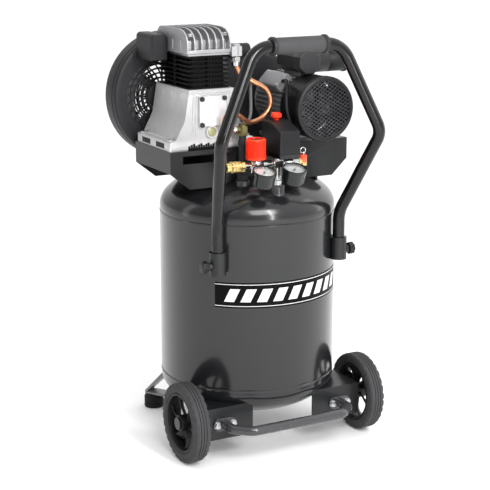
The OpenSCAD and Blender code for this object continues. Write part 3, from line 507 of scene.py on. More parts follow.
# ---------------------------------------------------------------- foot bar
BAR_Z, BAR_Y, BAR_R = 78, -224, 10
bar = Shape()
bar.tube(rounded([(-138, -160.5, BAR_Z), (-138, -194, BAR_Z), (-106, BAR_Y, BAR_Z), (106, BAR_Y, BAR_Z),
                  (138, -194, BAR_Z), (138, -160.5, BAR_Z)], [14, 24, 24, 14], 9), BAR_R, 28, (0, 0, 1))
bar.make("foot_rail", bar_grey, "chassis_paint", ("foot_bar",), smooth=50)
ears = Shape()
for s in (-1, 1):
    ear = circle_points((s * 138 + 12, BAR_Z), 14, -pi / 2, pi / 2, 10)
    ear += circle_points((s * 138 - 12, BAR_Z), 14, pi / 2, 3 * pi / 2, 10)
    ears.prism(ear, "y", -162, -159.05)
ears.make("foot_rail_ears", bar_grey, "chassis_paint", bevel=0.6, smooth=35)


# ---------------------------------------------------------------- wheels
AXLE_Y, AXLE_Z, TYRE_R, RIM_R = -123, 82.5, 82.5, 62


def wheel(side, name, body):
    x = side * 207.5
    half = 17.5
    shape = Shape()
    notches = 30
    n = notches * 4
    rings = []
    side_half = [(RIM_R, -half + 3), (RIM_R + 3, -half), (70, -half), (77, -half + 0.5), (80.9, -half + 2),
                 (82.2, -half + 5), (TYRE_R, -8.4), (TYRE_R, -6.9), (80.6, -6.4), (80.6, -5.6),
                 (TYRE_R, -5.1), (TYRE_R, -0.9), (80.6, -0.5)]
    section = side_half + [(r, -w) for r, w in reversed(side_half)]
    for k in range(n):
        a = 2 * pi * k / n
        cut = k % 4 == 0
        ring = []
        for r, w in section:
            shoulder = abs(w) > 9 and 74 < r < 82.2
            d = 2.6 if cut and shoulder else 0
            ring.append((x + w * (1 - 0.03 * (d > 0)), AXLE_Y + (r - d) * cos(a), AXLE_Z + (r - d) * sin(a)))
        rings.append(ring)
    m = len(section)
    shape.add([p for r in rings for p in r],
              [[i * m + k, i * m + (k + 1) % m, ((i + 1) % n) * m + (k + 1) % m, ((i + 1) % n) * m + k]
               for i in range(n) for k in range(m)])
    shape.make(name + "_tread", tyre_rubber, "tyre", (name + "_tyre",), body=body, smooth=40)
    hub = Shape()
    centre = (x, AXLE_Y, AXLE_Z)
    hub.lathe([(RIM_R, -14.5), (RIM_R, 14.5), (60.5, 16), (57.5, 16), (56, 13), (55, 3), (55, -3), (56, -13),
               (57.5, -16), (60.5, -16)], centre, "x", 72, closed=True)
    hub.lathe([(8.05, -17.4), (15, -17.4), (16.5, -16), (17, -12), (17, 12), (16.5, 16), (15, 17.4),
               (8.05, 17.4)],
              centre, "x", 40, closed=True)
    for k in range(6):
        a = radians(60 * k + 12)
        rings = []
        for j in range(9):
            t = j / 8
            r = 14 + 42.5 * t
            b = a + radians(16) * sin(pi * t) * side
            twist = radians(34) * side
            half_w, half_t = 6.5 + 9.5 * t, 2.4
            radial = Vector((0, cos(b), sin(b)))
            tangent = Vector((0, -sin(b), cos(b)))
            wide = (tangent * cos(twist) + Vector((1, 0, 0)) * sin(twist))
            thick = radial.cross(wide)
            mid = Vector(centre) + radial * r
            rings.append([mid + wide * half_w * u + thick * half_t * v for u, v in
                          ((-1, -0.5), (-0.8, -1), (0.8, -1), (1, -0.5), (1, 0.5), (0.8, 1), (-0.8, 1),
                           (-1, 0.5))])
        hub.loops(rings)
    hub.make(name + "_hub", rim_black, "rim_plastic", (name + "_rim",), body=body, bevel=0.5, smooth=35)


wheel(-1, "left", "left_wheel")
wheel(1, "right", "right_wheel")
axle_caps = Shape()
for s in (-1, 1):
    start = len(axle_caps.verts)
    axle_caps.lathe([(NEAR_AXIS, 0), (12.4, 0), (12.4, 0.8), (11, 2.1), (6, 2.9), (NEAR_AXIS, 3.1)], n=36,
                    axis="x")
    axle_caps.moved(Matrix.Translation((s * 225.5, AXLE_Y, AXLE_Z)) @ Matrix.Scale(s, 4, (1, 0, 0)), start)
axle_caps.make("axle_caps", black_plastic, "black_plastic", smooth=40)

# ---------------------------------------------------------------- handle
GRIP = (0, -210, 848.5)
handle_path = rounded([(-142.5, -139, 394.3), (-142.5, -139, 490), (-182, -231, 668), (-97, -210, 848.5),
                       (97, -210, 848.5), (182, -231, 668), (142.5, -139, 490), (142.5, -139, 394.3)],
                      [70, 45, 54, 54, 45, 70], 16)
Shape().tube(handle_path, 12.48, 36, (1, 0, 0)).make("push_tube", handle_black, "handle_paint",
                                                     ("handle_tube",), body="handle", smooth=50)
Shape().lathe([(12.55, -55), (16, -55), (16.4, -54), (16.4, 54), (16, 55), (12.55, 55)], GRIP, "x", 56,
              closed=True).make("grip_sleeve", grip_rubber, "grip_rubber", ("handle_grip",), body="handle",
                                smooth=30)
collars = Shape()
for s in (-1, 1):
    collars.lathe([(12.55, s * 55), (17.6, s * 54), (18.4, s * 55), (18.5, s * 60.5), (17.6, s * 62),
                   (12.55, s * 62)],
                  GRIP, "x", 48, closed=True)
collars.make("grip_collars", black_plastic, "grip_rubber", body="handle", smooth=35)
for s, name in ((-1, "left"), (1, "right")):
    knob = Shape()
    knob.lobed([(12.3 * scale, 0.68 * scale, w) for w, scale in
                ((9.9, 0.55), (10.2, 0.8), (11.5, 0.97), (14, 1), (20, 1), (22, 0.97), (22.7, 0.85),
                 (22.8, 0.2))],
               8, axis="x")
    knob.rod(4, 0, 14, n=24, axis="x")
    knob.moved(Matrix.Translation((s * (142.5 + 12.8), -139, 409)) @ Matrix.Scale(s, 4, (1, 0, 0)))
    knob.make(name + "_grip_knob", black_plastic, "black_plastic", (name + "_clamp_knob",),
              body=name + "_knob",
              smooth=35)

# ---------------------------------------------------------------- pump
PUMP_X, CRANK_Z, DECK_Z = -118, 710, 634
BLOCK_Y0, BLOCK_Y1 = -60, 80
soften("crankcase", cast_white, 3.0, 3)


def fin_outline(w, y0, y1, r):
    """A rounded rectangle about the pump's middle line."""
    pts = []
    for cx, cy, a0 in ((w - r, y1 - r, 0), (-w + r, y1 - r, pi / 2), (-w + r, y0 + r, pi),
                       (w - r, y0 + r, 3 * pi / 2)):
        pts += circle_points((PUMP_X + cx, cy), r, a0, a0 + pi / 2, 5)
    return pts


# Raised edges and ribs on the casting
trim = Shape()
trim.collar(fin_outline(51.5, -71, 83, 3), fin_outline(40, -62, 76, 3), "z", 746, 753.6)
for dx in (-44, -36.5):
    trim.prism([(PUMP_X + dx - 1.3, 662), (PUMP_X + dx + 1.3, 662), (PUMP_X + dx + 1.3 + 3, 742),
                (PUMP_X + dx - 1.3 + 3, 742)],
               "y", -71.6, -68)
for dx in (38, 45):
    trim.prism([(PUMP_X + dx - 1.3, 662), (PUMP_X + dx + 1.3, 662), (PUMP_X + dx - 2.2, 742),
                (PUMP_X + dx - 4.8, 742)],
               "y", -71.6, -68)
trim.box((PUMP_X - 90, -71.4, 635), (PUMP_X + 90, -66, 641))
trim.make("case_ribs", cast_white, "cast_aluminium", bevel=1.0, segments=2, smooth=35)
side_ribs = Shape()
for s in (-1, 1):
    for y in (-34, 6, 46):
        side_ribs.prism([(PUMP_X + s * 80, 655), (PUMP_X + s * 58, 696), (PUMP_X + s * 53, 744),
                         (PUMP_X + s * 50, 744),
                         (PUMP_X + s * 50, 655)], "y", y - 1.6, y + 1.6)
side_ribs.make("case_side_ribs", cast_white, "cast_aluminium", bevel=0.8, smooth=35)
# Thin black boxes on the crankcase's left face are painted shade, standing in for the shadowed pockets of the
# casting
pockets = Shape()
for y in (-44, 22):
    pockets.box((PUMP_X - 94.35, y, 637), (PUMP_X - 92, y + 40, 648))
pockets.make("case_pocket_shade", block_black, "cast_aluminium", bevel=0.8, segments=3)
# A black toothed strip along the crankcase's front foot is painted shade for the dark gap between the
# crankcase and the platform
comb = Shape()
comb.box((-172, -73, 634.2), (-106, -70.5, 639.5))
for k in range(12):
    comb.box((-171.4 + 5.4 * k, -73.6, 634.2), (-168 + 5.4 * k, -70.5, 643 + 2 * (k % 3)))
comb.make("case_gap_shade_comb", block_black, "black_plastic", bevel=0.5)

soften("crankcase_cover", cast_white, 2.2, 3)
glass_ring = Shape()
SIGHT = (-120, -70, 668.5)
glass_ring.lathe([(9.3, 1), (9.3, -4.5), (10.2, -5.8), (12.6, -5.8), (13.4, -4.6), (13.6, 1)], SIGHT, "y",
                 40, closed=True)
glass_ring.make("sight_ring", cast_white, "cast_aluminium", smooth=35)
Shape().lathe([(NEAR_AXIS, 2), (9.4, 2), (9.4, -3.2), (7, -4.2), (3.5, -4.8), (NEAR_AXIS, -5)], SIGHT, "y",
              40).make(
    "sight_lens", oil_glass, "sight_glass", ("sight_glass",), smooth=50)
cap = Shape()
cap.lobed([(8, 0, 0.3), (10, 0, 0.4), (10.9, 0, 1.5), (10.9, 0, 3), (10.2, 0.5, 3.3), (10.2, 0.5, 11),
           (9.6, 0.5, 13), (8, 0.2, 14.2), (0.1, 0, 14.3)], 12)
cap.rod(6, -8, 1, n=24)
cap.moved(Matrix.Translation((-59.4, 40, 706)) @ Matrix.Rotation(radians(80.5), 4, "Y"))
cap.make("oil_cap_top", black_plastic, "black_plastic", ("filler_cap",), body="oil_cap", smooth=40)

# Cylinder block: two finned barrels on one casting
fins = Shape()
for k in range(8):
    z = 754.2 + k * (65.6 - 3.4) / 7
    fins.collar(fin_outline(47, BLOCK_Y0, BLOCK_Y1, 6), fin_outline(33, BLOCK_Y0 + 6, BLOCK_Y1 - 6, 6), "z",
                z, z + 3.4)
fins.make("block_fins", block_black, "black_iron", ("cylinder_block",), bevel=0.7, smooth=35)
core = Shape()
core.collar(fin_outline(37, BLOCK_Y0 + 6.4, BLOCK_Y1 - 6.4, 6),
            fin_outline(31, BLOCK_Y0 + 7.4, BLOCK_Y1 - 7.4, 6), "z", 754.5, 819.5)
for s in (-1, 1):
    core.lathe([(4.5, 755), (4.5, 819)], (PUMP_X + s * 40.5, 10, 0), n=20)
for dx in (-2.4, 2.4):
    core.lathe([(1.9, 755), (1.9, 819)], (PUMP_X + dx, BLOCK_Y0 + 1.6, 0), n=12)
core.make("block_core", block_black, "black_iron", smooth=40)
soften("valve_plate", machined, 0.5)

# Cylinder head: a deck with lips, thick ribs from front to back and small ones on the right
head = Shape()
head.prism(fin_outline(50, BLOCK_Y0 - 2, BLOCK_Y1 + 2, 5), "z", 824.1, 832)
head.prism(fin_outline(46, BLOCK_Y0 + 11, BLOCK_Y1 - 4, 6), "z", 831, 850)
head.make("head_deck", cast, "cast_aluminium", ("cylinder_head",), bevel=1.6, segments=3, smooth=35)
ribs = Shape()
for k in range(7):
    x = PUMP_X - 47.4 + 94.8 * k / 6
    outline = [(BLOCK_Y0 - 1.2, 827), (BLOCK_Y0 - 1.2, 843), (BLOCK_Y0 + 1, 852), (BLOCK_Y0 + 7, 862),
               (BLOCK_Y0 + 20, 870),
               (BLOCK_Y0 + 40, 873.4), (BLOCK_Y1 - 40, 873.8), (BLOCK_Y1 - 14, 872), (BLOCK_Y1 - 5, 866),
               (BLOCK_Y1 + 1, 854),
               (BLOCK_Y1 + 1.2, 827)]
    ribs.prism(outline, "x", x - 1.9, x + 1.9)
for y in (BLOCK_Y0 + 30, BLOCK_Y0 + 66, BLOCK_Y1 - 34):
    ribs.prism([(PUMP_X - 50.6, 829), (PUMP_X - 50.6, 848), (PUMP_X - 46, 862), (PUMP_X - 40, 862),
                (PUMP_X - 40, 829)],
               "y", y - 1.9, y + 1.9)
ribs.make("head_ribs", cast, "cast_aluminium", bevel=1.2, segments=3, smooth=40)
crown = Shape()
crown.prism([(BLOCK_Y0 + 11, 828), (BLOCK_Y0 + 12, 842), (BLOCK_Y0 + 18, 852), (BLOCK_Y0 + 32, 859),
             (BLOCK_Y0 + 50, 861),
             (BLOCK_Y1 - 30, 861), (BLOCK_Y1 - 14, 856), (BLOCK_Y1 - 6, 844), (BLOCK_Y1 - 6, 828)], "x",
            PUMP_X - 46, PUMP_X + 46)
crown.make("head_crown", cast, "cast_aluminium", bevel=2.5, segments=3, smooth=50)
ports = Shape()
for k in range(7):
    y = -6 + 11 * k
    ports.box((PUMP_X + 47, y - 1.6, 826), (PUMP_X + 59, y + 1.6, 858))
ports.box((PUMP_X + 48, -30, 826), (PUMP_X + 55, 76, 842))
ports.box((PUMP_X + 48, -66, 816), (PUMP_X + 71, -47, 836))
ports.turned([(8.4, 815.8), (9.4, 817), (9.4, 838), (8, 840)], (-57, -57, 0), n=32)
ports.make("head_ports", cast, "cast_aluminium", bevel=1.0, smooth=40)

# Intake filter beside the head
intake = Shape()
FX, FY, FZ = PUMP_X + 57.2, -16, 826
intake.turned([(8, -8), (8, 12), (9.4, 12.4), (9.4, 15)], (FX, FY, FZ), "x", 28)
intake.box((FX + 12, FY - 13, FZ - 18), (FX + 30, FY + 13, FZ + 10))
intake.turned([(14, 27), (14.6, 28), (14.6, 33), (13.4, 34), (13.4, 35), (14.8, 36), (14.8, 52),
               (13.5, 54)], (FX, FY, FZ - 4), "x", 36)
intake.rod(4.6, -20.4, -10, (FX + 41.8 - 0.4, FY, FZ), n=20)
intake.make("intake_filter", black_plastic, "black_plastic", ("air_filter",), bevel=0.7, smooth=35)

soften("crankshaft", machined, 0.5, body="crank")
soften("flywheel", iron, 1.2, body="crank")
# Pieces shown as their CAD nodes, with a better material
for node, material in (("bearings", machined), ("rotor", machined), ("front_piston", cast),
                       ("rear_piston", cast), ("drive_belt", soft_rubber)):
    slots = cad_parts[node].data.materials
    slots.clear()
    slots.append(material)
soften("motor_pulley", iron, 0.6, body="motor_spindle")
soften("cooling_fan", black_plastic, 0.4, body="motor_spindle")

# ---------------------------------------------------------------- belt guard
GUARD, MOTOR = (-123, 722), (108, 707)
BIG_R, SMALL_R = 133, 88
GRILLE, GRILLE_R = (-152, 722), 78
REAR_GRILLE = (-123, 716)


def guard_outline(inset, big=96, small=56):
    a = atan2(MOTOR[1] - GUARD[1], MOTOR[0] - GUARD[0])
    g = acos((BIG_R - SMALL_R) / hypot(MOTOR[0] - GUARD[0], MOTOR[1] - GUARD[1]))
    return (circle_points(GUARD, BIG_R - inset, a + g, a + 2 * pi - g, big)
            + circle_points(MOTOR, SMALL_R - inset, a - g, a + g, small))


def ray_to(outline, centre, angle):
    """Where a ray from the centre leaves the outline."""
    d = (cos(angle), sin(angle))
    best = None
    for (x0, z0), (x1, z1) in zip(outline, outline[1:] + outline[:1]):
        ex, ez = x1 - x0, z1 - z0
        det = ex * d[1] - ez * d[0]
        if abs(det) < 1e-9:
            continue
        t = (ex * (z0 - centre[1]) - ez * (x0 - centre[0])) / det
        u = (d[0] * (z0 - centre[1]) - d[1] * (x0 - centre[0])) / det
        if t > 0 and -1e-6 <= u <= 1 + 1e-6 and (best is None or t > best):
            best = t
    return (centre[0] + best * d[0], centre[1] + best * d[1])


def shell_half(name, steps, wall_y, inner_y, hole, node):
    """One half of the guard: rounded rim rings, a face with a round opening, and an inner wall."""
    n = 240
    angles = [2 * pi * k / n for k in range(n)]
    centre, hole_r = hole
    rings = []
    for inset, y in steps:
        outline = guard_outline(inset)
        rings.append([(p[0], y, p[1]) for p in (ray_to(outline, centre, a) for a in angles)])
    rings.append([(centre[0] + hole_r * cos(a), wall_y, centre[1] + hole_r * sin(a)) for a in angles])
    rings.append([(centre[0] + hole_r * cos(a), inner_y, centre[1] + hole_r * sin(a)) for a in angles])
    outline = guard_outline(steps[0][0] + 2.6)
    inner = [ray_to(outline, centre, a) for a in angles]
    rings.append([(p[0], inner_y, p[1]) for p in inner])
    rings.append([(p[0], steps[0][1], p[1]) for p in inner])
    Shape().loops(rings, closed=True).make(name, guard_grey, "guard_plastic", (node,), smooth=28)


shell_half("guard_rear_half", [(1.2, 116.2), (0.2, 117.2), (0, 119), (0, 145), (0.6, 149), (2.4, 152.6),
                               (5.4, 154.6), (9, 155)],
           155, 152.4, (REAR_GRILLE, 82), "guard_back")
shell_half("guard_front_half", [(2.2, 115.8), (1, 114.6), (1, 109), (1.8, 105.6), (4, 103.2), (7.5, 102),
                                (11, 102)],
           102, 104.6, (GRILLE, GRILLE_R), "guard_front")


def grille(name, centre, y0, y1, radii, width, arms, hub_r, sweep, material):
    """Ring bars and swept arms in a round opening, with a plain disc in the middle."""
    g = Shape()
    for r in radii:
        g.lathe([(r, y0), (r + width, y0), (r + width, y1), (r, y1)], (centre[0], 0, centre[1]), "y", 112,
                closed=True)
    for k in range(arms):
        rings = []
        for j in range(13):
            t = j / 12
            r = hub_r - 2 + (radii[-1] + width - hub_r + 2) * t
            a = 2 * pi * k / arms + sweep * t
            mid = Vector((centre[0] + r * cos(a), 0, centre[1] + r * sin(a)))
            across = Vector((-sin(a), 0, cos(a))) * width * 0.55
            rings.append([mid - across + Vector((0, y0 + 0.4, 0)), mid + across + Vector((0, y0 + 0.4, 0)),
                          mid + across + Vector((0, y1, 0)), mid - across + Vector((0, y1, 0))])
        g.loops(rings)
    g.turned([(hub_r - 2, y0 - 0.4), (hub_r, y0 + 0.6), (hub_r, y1)],
            (centre[0], 0, centre[1]), "y", 64)
    g.make(name, material, "guard_plastic", smooth=35)


grille("grille_front", GRILLE, 102.4, 105.6, [28 + 9.4 * k for k in range(6)], 2.9, 24, 27, 0.5, guard_grey)
grille("grille_rear", REAR_GRILLE, 151.6, 154.8, [26 + 10.6 * k for k in range(6)], 3.2, 12, 25, 0.0,
       guard_grey)

hood = Shape()
HX0, HX1, HY0, HY1, HZ0, HZ1 = -203, -168.5, 26, 104, 804, 858
outline = [(HX0, HZ0), (HX1, HZ0)] + circle_points((HX1 - 9, HZ1 - 9), 9, 0, pi / 2, 8) \
    + circle_points((HX0 + 9, HZ1 - 9), 9, pi / 2, pi, 8)
rings = []
for y, s in ((HY1, 1.0), (HY0 + 12, 1.0), (HY0 + 4, 0.985), (HY0 + 1, 0.95), (HY0, 0.9)):
    cx, cz = (HX0 + HX1) / 2, (HZ0 + HZ1) / 2
    rings.append([(cx + (u - cx) * s, y, cz + (w - cz) * s) for u, w in outline])
hood.loops(rings)
hood.make("guard_hood", guard_grey, "guard_plastic", bevel=1.0, smooth=40)

# ---------------------------------------------------------------- motor
MX, MZ = MOTOR
COWL_Y0, COWL_Y1, FRAME_Y1 = -140, -62, 54
body = Shape()
body.lathe([(54.1, COWL_Y1 + 1), (57.2, COWL_Y1 + 1), (57.2, FRAME_Y1), (54.1, FRAME_Y1)], (MX, 0, MZ), "y",
           72, closed=True)
for k in range(34):
    a = radians(-130 + 300 * k / 33) + pi / 2
    low, top, half_t = 56.4, 63.0, 1.15
    u, v = Vector((cos(a), 0, sin(a))), Vector((-sin(a), 0, cos(a)))
    c = Vector((MX, 0, MZ))
    ring = [c + u * low - v * 1.5, c + u * (top - 0.8) - v * half_t, c + u * top - v * 0.4,
            c + u * top + v * 0.4,
            c + u * (top - 0.8) + v * half_t, c + u * low + v * 1.5]
    body.loops([[p + Vector((0, y, 0)) for p in ring] for y in (COWL_Y1 + 4, FRAME_Y1 - 4)])
for s in (-1, 1):
    body.box((MX + s * 44 - 12, -44, DECK_Z + 0.05), (MX + s * 44 + 12, 40, DECK_Z + 9))
    for y in (-38, 30):
        body.prism([(MX + s * 40 - 8, DECK_Z + 8), (MX + s * 40 + 8, DECK_Z + 8), (MX + s * 30 + 4, 668),
                    (MX + s * 30 - 4, 668)],
                   "y", y - 3, y + 3)
body.box((MX - 34, -40, DECK_Z + 0.05), (MX + 34, 36, DECK_Z + 6))
for y in (-36, 32):
    body.box((MX - 22, y - 4, DECK_Z + 5), (MX + 22, y + 4, 655))
body.make("motor_casting", cast, "cast_aluminium", ("motor_frame",), bevel=0.4, smooth=35)

shields = Shape()
shields.lathe([(10.5, 54.2), (55, 54.2), (57.8, 55.5), (57.8, 60), (55, 63), (34, 65.5), (26, 67.8),
               (10.5, 67.8)],
              (MX, 0, MZ), "y", 64, closed=True)
shields.lathe([(10.5, -74), (54, -74), (56, -73), (56, -62.2), (10.5, -62.2)], (MX, 0, MZ), "y", 64,
              closed=True)
for k in range(4):
    a = radians(45 + 90 * k)
    shields.hexagon((MX + 50 * cos(a), 62, MZ + 50 * sin(a)), "y", 8, 4)
shields.make("motor_shields", cast, "cast_aluminium", ("end_shields",), smooth=35)

cowl = Shape()
cowl.lathe([(62.8, COWL_Y1 + 0.5), (64, COWL_Y1 - 0.5), (65, COWL_Y1 - 3), (65, COWL_Y0 + 21),
            (65.6, COWL_Y0 + 18), (66.9, COWL_Y0 + 16),
            (66.9, COWL_Y0 + 6), (65.6, COWL_Y0 + 2), (62.5, COWL_Y0 + 0.2), (59.5, COWL_Y0),
            (57.5, COWL_Y0 + 1),
            (56, COWL_Y0 + 3.4), (56, COWL_Y0 + 6), (62.8, COWL_Y0 + 8)], (MX, 0, MZ), "y", 96, closed=True)
for k in range(4):
    a = radians(20 + 90 * k)
    out = Vector((cos(a), 0, sin(a)))
    start = len(cowl.verts)
    cowl.turned([(3.4, 0), (3.4, 1.2), (2.4, 2.0)], n=16)
    place = Vector((MX, COWL_Y1 - 10, MZ)) + 64.4 * out
    cowl.moved(Matrix.Translation(place) @ out.to_track_quat("Z", "Y").to_matrix().to_4x4(), start)
cowl.make("cowl_shell", black_plastic, "black_plastic", ("fan_cowl",), smooth=40)
mesh_bars = Shape()
BAR_STEP, BAR_HALF, MESH_R = 6.6, 1.05, 57.0
for turn, y in ((radians(38), COWL_Y0 + 2.6), (radians(-30), COWL_Y0 + 3.0)):
    du, dv = Vector((cos(turn), 0, sin(turn))), Vector((-sin(turn), 0, cos(turn)))
    section = [(-1, 0), (-0.5, -0.9), (0.5, -0.9), (1, 0), (1, 2), (-1, 2)]
    for k in range(-8, 9):
        reach = (MESH_R ** 2 - (k * BAR_STEP) ** 2) ** 0.5
        c = Vector((MX, y, MZ)) + dv * (k * BAR_STEP)
        mesh_bars.loops([[c + du * e * reach + dv * (u * BAR_HALF) + Vector((0, w, 0)) for u, w in section]
                         for e in (-1, 1)])
mesh_bars.turned([(9, COWL_Y0 + 2.0), (10, COWL_Y0 + 3), (10, COWL_Y0 + 5)], (MX, 0, MZ), "y", 32)
mesh_bars.make("cowl_mesh", black_plastic, "black_plastic", smooth=40)

# Cover on the frame's upper left side, with its screws
cover = Shape()
pts = []
for cx, cz, a0 in ((14, 70, 0), (-14, 70, pi / 2)):
    pts += circle_points((cx, cz), 6, a0, a0 + pi / 2, 6)
pts += [(-20, 58.2), (20, 58.2)]
cover.prism(pts, "y", COWL_Y1 + 12.3, COWL_Y1 + 95.7)
cover.moved(Matrix.Translation((MX, 0, MZ)) @ Matrix.Rotation(radians(-45), 4, "Y"))
cover.make("frame_cover", cover_grey, "cover_metal", ("terminal_cover",), bevel=1.6, segments=3, smooth=40)
screws = Shape()
for u, y in ((-13, COWL_Y1 + 20), (13, COWL_Y1 + 20), (-13, COWL_Y1 + 88), (13, COWL_Y1 + 88)):
    start = len(screws.verts)
    screws.lathe([(NEAR_AXIS, 0), (3.6, 0), (3.6, 1.2), (2.6, 2.3), (NEAR_AXIS, 2.5)], n=20)
    screws.moved(Matrix.Translation((MX, 0, MZ)) @ Matrix.Rotation(radians(-45), 4, "Y")
                 @ Matrix.Translation((u, y, 74.2)), start)
screws.make("cover_screws", zinc, "bolt_steel", smooth=40)

box = Shape()
OX, OZ = 99, 798
rings = []
for y, s in ((6, 0.97), (5, 1), (-56, 1), (-58, 0.975), (-60, 1), (-86, 1), (-89, 0.965), (-90, 0.9)):
    rings.append([(OX + 27 * s * cos(radians(22.5 + 45 * k)), y, OZ + 27 * s * sin(radians(22.5 + 45 * k)))
                  for k in range(8)])
box.loops(rings)
box.box((OX - 14, -70, 768), (OX + 14, -6, 776))
box.make("switch_housing", grey_plastic, "black_plastic", ("terminal_box",), bevel=1.3, segments=3, smooth=30)
can = Shape()
can.lathe([(NEAR_AXIS, 124.3), (25, 124.3), (25, 150), (24.4, 151), (24.4, 152.6), (25, 153.6), (25, 192),
           (26.4, 193.4), (27, 195),
           (27, 198.2), (25.6, 200), (21, 200.2), (20, 199), (NEAR_AXIS, 198.6)], (0, -58, 798), "x", 64)
can.make("capacitor_shell", black_plastic, "black_plastic", ("capacitor_can",), smooth=35)

# ---------------------------------------------------------------- air and electric lines
pipe = spline([(-57, -57, 820), (-57, -57, 806), (-55, -58, 793), (-46, -62, 777), (-20, -68, 762),
               (3, -71, 749), (14, -73, 732),
               (13, -74, 713), (2, -76, 697), (-18, -79, 686), (-42, -84, 684), (-64, -90, 698),
               (-82, -94, 709), (-98, -96, 703),
               (-105, -96, 688), (-99, -96, 675), (-88, -96, 672), (-78.1, -96, 672)], 6)
Shape().tube(pipe, 4.95, 24, (0, 1, 0)).make("copper_line", copper, "copper", ("delivery_pipe",), smooth=60)
nuts = Shape()
nuts.hexagon((-57, -57, 805), "z", 18, 10)
nuts.lathe([(5.4, 796), (7.6, 796), (8.4, 797.4), (8.4, 805.5), (5.4, 805.5)], (-57, -57, 0), n=28,
           closed=True)
nuts.lathe([(5.4, -84), (7.0, -84), (7.4, -83), (7.4, -76), (5.4, -76)], (0, -96, 672), "x", 28, closed=True)
nuts.make("pipe_nuts", nickel, "nickel_plate", bevel=0.4, smooth=35)

VX, VY = VALVE
valve = Shape()
valve.rod(9, 545, 570, (VX, VY, 0), n=32)
valve.hexagon((VX, VY, 569.5), "z", 22, 14.5)
valve.turned([(9.6, 583), (9.6, 586), (8, 588), (8, 640), (9.4, 642), (9.4, 650), (7.6, 652), (7.6, 661)],
             (VX, VY, 0), n=40)
valve.turned([(5, -56), (5, -46.2), (3.5, -46.2)], (0, VY, 605), "x", 24)
valve.make("check_valve_column", dark_steel, "fitting_brass", ("check_valve",), bevel=0.5, smooth=40)
crown = Shape()
crown.hexagon((VX, VY, 660), "z", 20, 20)
crown.turned([(8.4, 679), (8.4, 682.5), (7, 684)], (VX, VY, 0), n=32)
crown.rod(7.5, -78, -60, (0, VY, 672), "x", 28)
crown.make("check_valve_head", shaded_brass, "fitting_brass", bevel=0.5, smooth=40)

tube = spline([(-10, -16, 805.2), (-10, -16, 799.5), (-12, -27, 787), (-17, -46, 764), (-20, -52, 738),
               (-21, -55, 708),
               (-23, -56, 692), (-28, -56, 682), (-37, -55, 677), (-46.2, -55, 676)], 6)
Shape().tube(tube, 3.45, 20, (1, 0, 0)).make("breather_line", tube_grey, "tube_plastic", ("breather_tube",),
                                             smooth=60)
unload = spline([(-46, -96, 605), (-40, -96, 606), (-34, -97, 614), (-30, -100, 624), (-24, -104, 630),
                 (-14.2, -106, 632)], 8)
Shape().tube(unload, 2.45, 16, (0, 1, 0)).make("unloader_line", copper, "tube_plastic", ("unloader_tube",),
                                               smooth=60)
lead = spline([(57, -50.1, 758), (56, -60, 759.5), (50, -76, 760), (40, -94, 750), (33, -106, 730),
               (31, -112, 708), (36, -112, 688),
               (41, -112, 673), (40, -112, 663), (32.1, -112, 660)], 8)
Shape().tube(lead, 3.95, 20, (0, 0, 1)).make("switch_lead", cable_black, "cable_sheath", ("motor_cable",),
                                             smooth=60)

# ---------------------------------------------------------------- pressure switch and instruments
SX0, SX1, SY0, SY1, SZ0, SZ1 = -14, 32, -165, -87, 617, 672
switch = Shape()
side = [(SY0 + 1, SZ0), (SY1, SZ0), (SY1, SZ1 + 16), (SY1 - 36, SZ1 + 16), (SY0 + 0.5, SZ1), (SY0, SZ1 - 4)]
switch.prism(side, "x", SX0, SX1)
switch.make("switch_case", black_plastic, "black_plastic", ("switch_body",), bevel=2.6, segments=4, smooth=40)
trims = Shape()
trims.box((SX0, SY0, SZ0 - 0.2), (SX1, SY1, SZ0 + 7))
trims.lathe([(3.9, 31), (7.5, 31), (7.5, 38), (6.6, 40), (3.9, 40)], (0, -112, 660), "x", 24, closed=True)
trims.make("switch_base", black_plastic, "black_plastic", bevel=0.8, smooth=40)
knob = Shape()
knob.lobed([(r, 0.35 if r > 8 else 0, w) for r, w in
            ((5.6, 678.5), (5.6, 691), (8.4, 692), (10.6, 694), (11, 698), (10.4, 701), (7, 703.4),
             (0.1, 703.9))],
           10, (10, -106, 0), n=80)
knob.make("switch_pull_knob", red, "red_plastic", ("switch_knob",), body="switch_button", smooth=40)

TX, TY = TEE
TZ = 606
rail = Shape()
rail.rod(9, 545, 566, (TX, TY, 0), n=32)
rail.hexagon((TX, TY, 565), "z", 17.5, 9)
prof = [(NEAR_AXIS, 573)]
for k in range(5):
    w = 574 + 4.2 * k
    prof += [(8.9, w), (9, w + 2.4), (7.2, w + 2.8), (7.2, w + 3.8)]
prof += [(9, 596), (9, 616.8), (NEAR_AXIS, 616.8)]
rail.lathe(prof, (TX, TY, 0), n=32)
rail.turned([(8, -41.9), (8, -24), (7, -22), (7, 18), (8, 20), (8, 27), (6.6, 28.5), (6.6, 40)],
            (0, TY, TZ), "x", 32)
rail.box((TX - 10, TY - 9, 598), (TX + 10, TY + 9, 614))
rail.rod(6, -156.4, -142, (8.6, 0, 602), "y", 24)
rail.make("air_rail", nickel, "nickel_plate", ("manifold",), bevel=0.6, segments=2, smooth=40)

RX = -57
reg = Shape()
reg.turned([(10.6, 590), (11.8, 591.4), (12, 593), (12, 599)], (RX, TY, 0), n=40)
reg.hexagon((RX, TY, 598), "z", 29.8, 11, pi / 6)
reg.turned([(12, 607), (12, 613), (11, 615.8), (3.95, 615.8), (3.95, 634)], (RX, TY, 0), n=40)
reg.rod(7, RX - 26, RX - 12, (0, TY, TZ), "x", 28)
reg.make("regulator_case", nickel, "nickel_plate", ("regulator_body",), bevel=0.6, smooth=40)
FLUTES = 24


def fluted(r, w, depth, n=192):
    """A ring of the regulator's cap, with narrow grooves of the given depth."""
    ring = []
    for k in range(n):
        a = 2 * pi * k / n
        reach = r - depth * (0.5 + 0.5 * cos(FLUTES * a)) ** 3
        ring.append((RX + reach * cos(a), TY + reach * sin(a), w))
    return ring


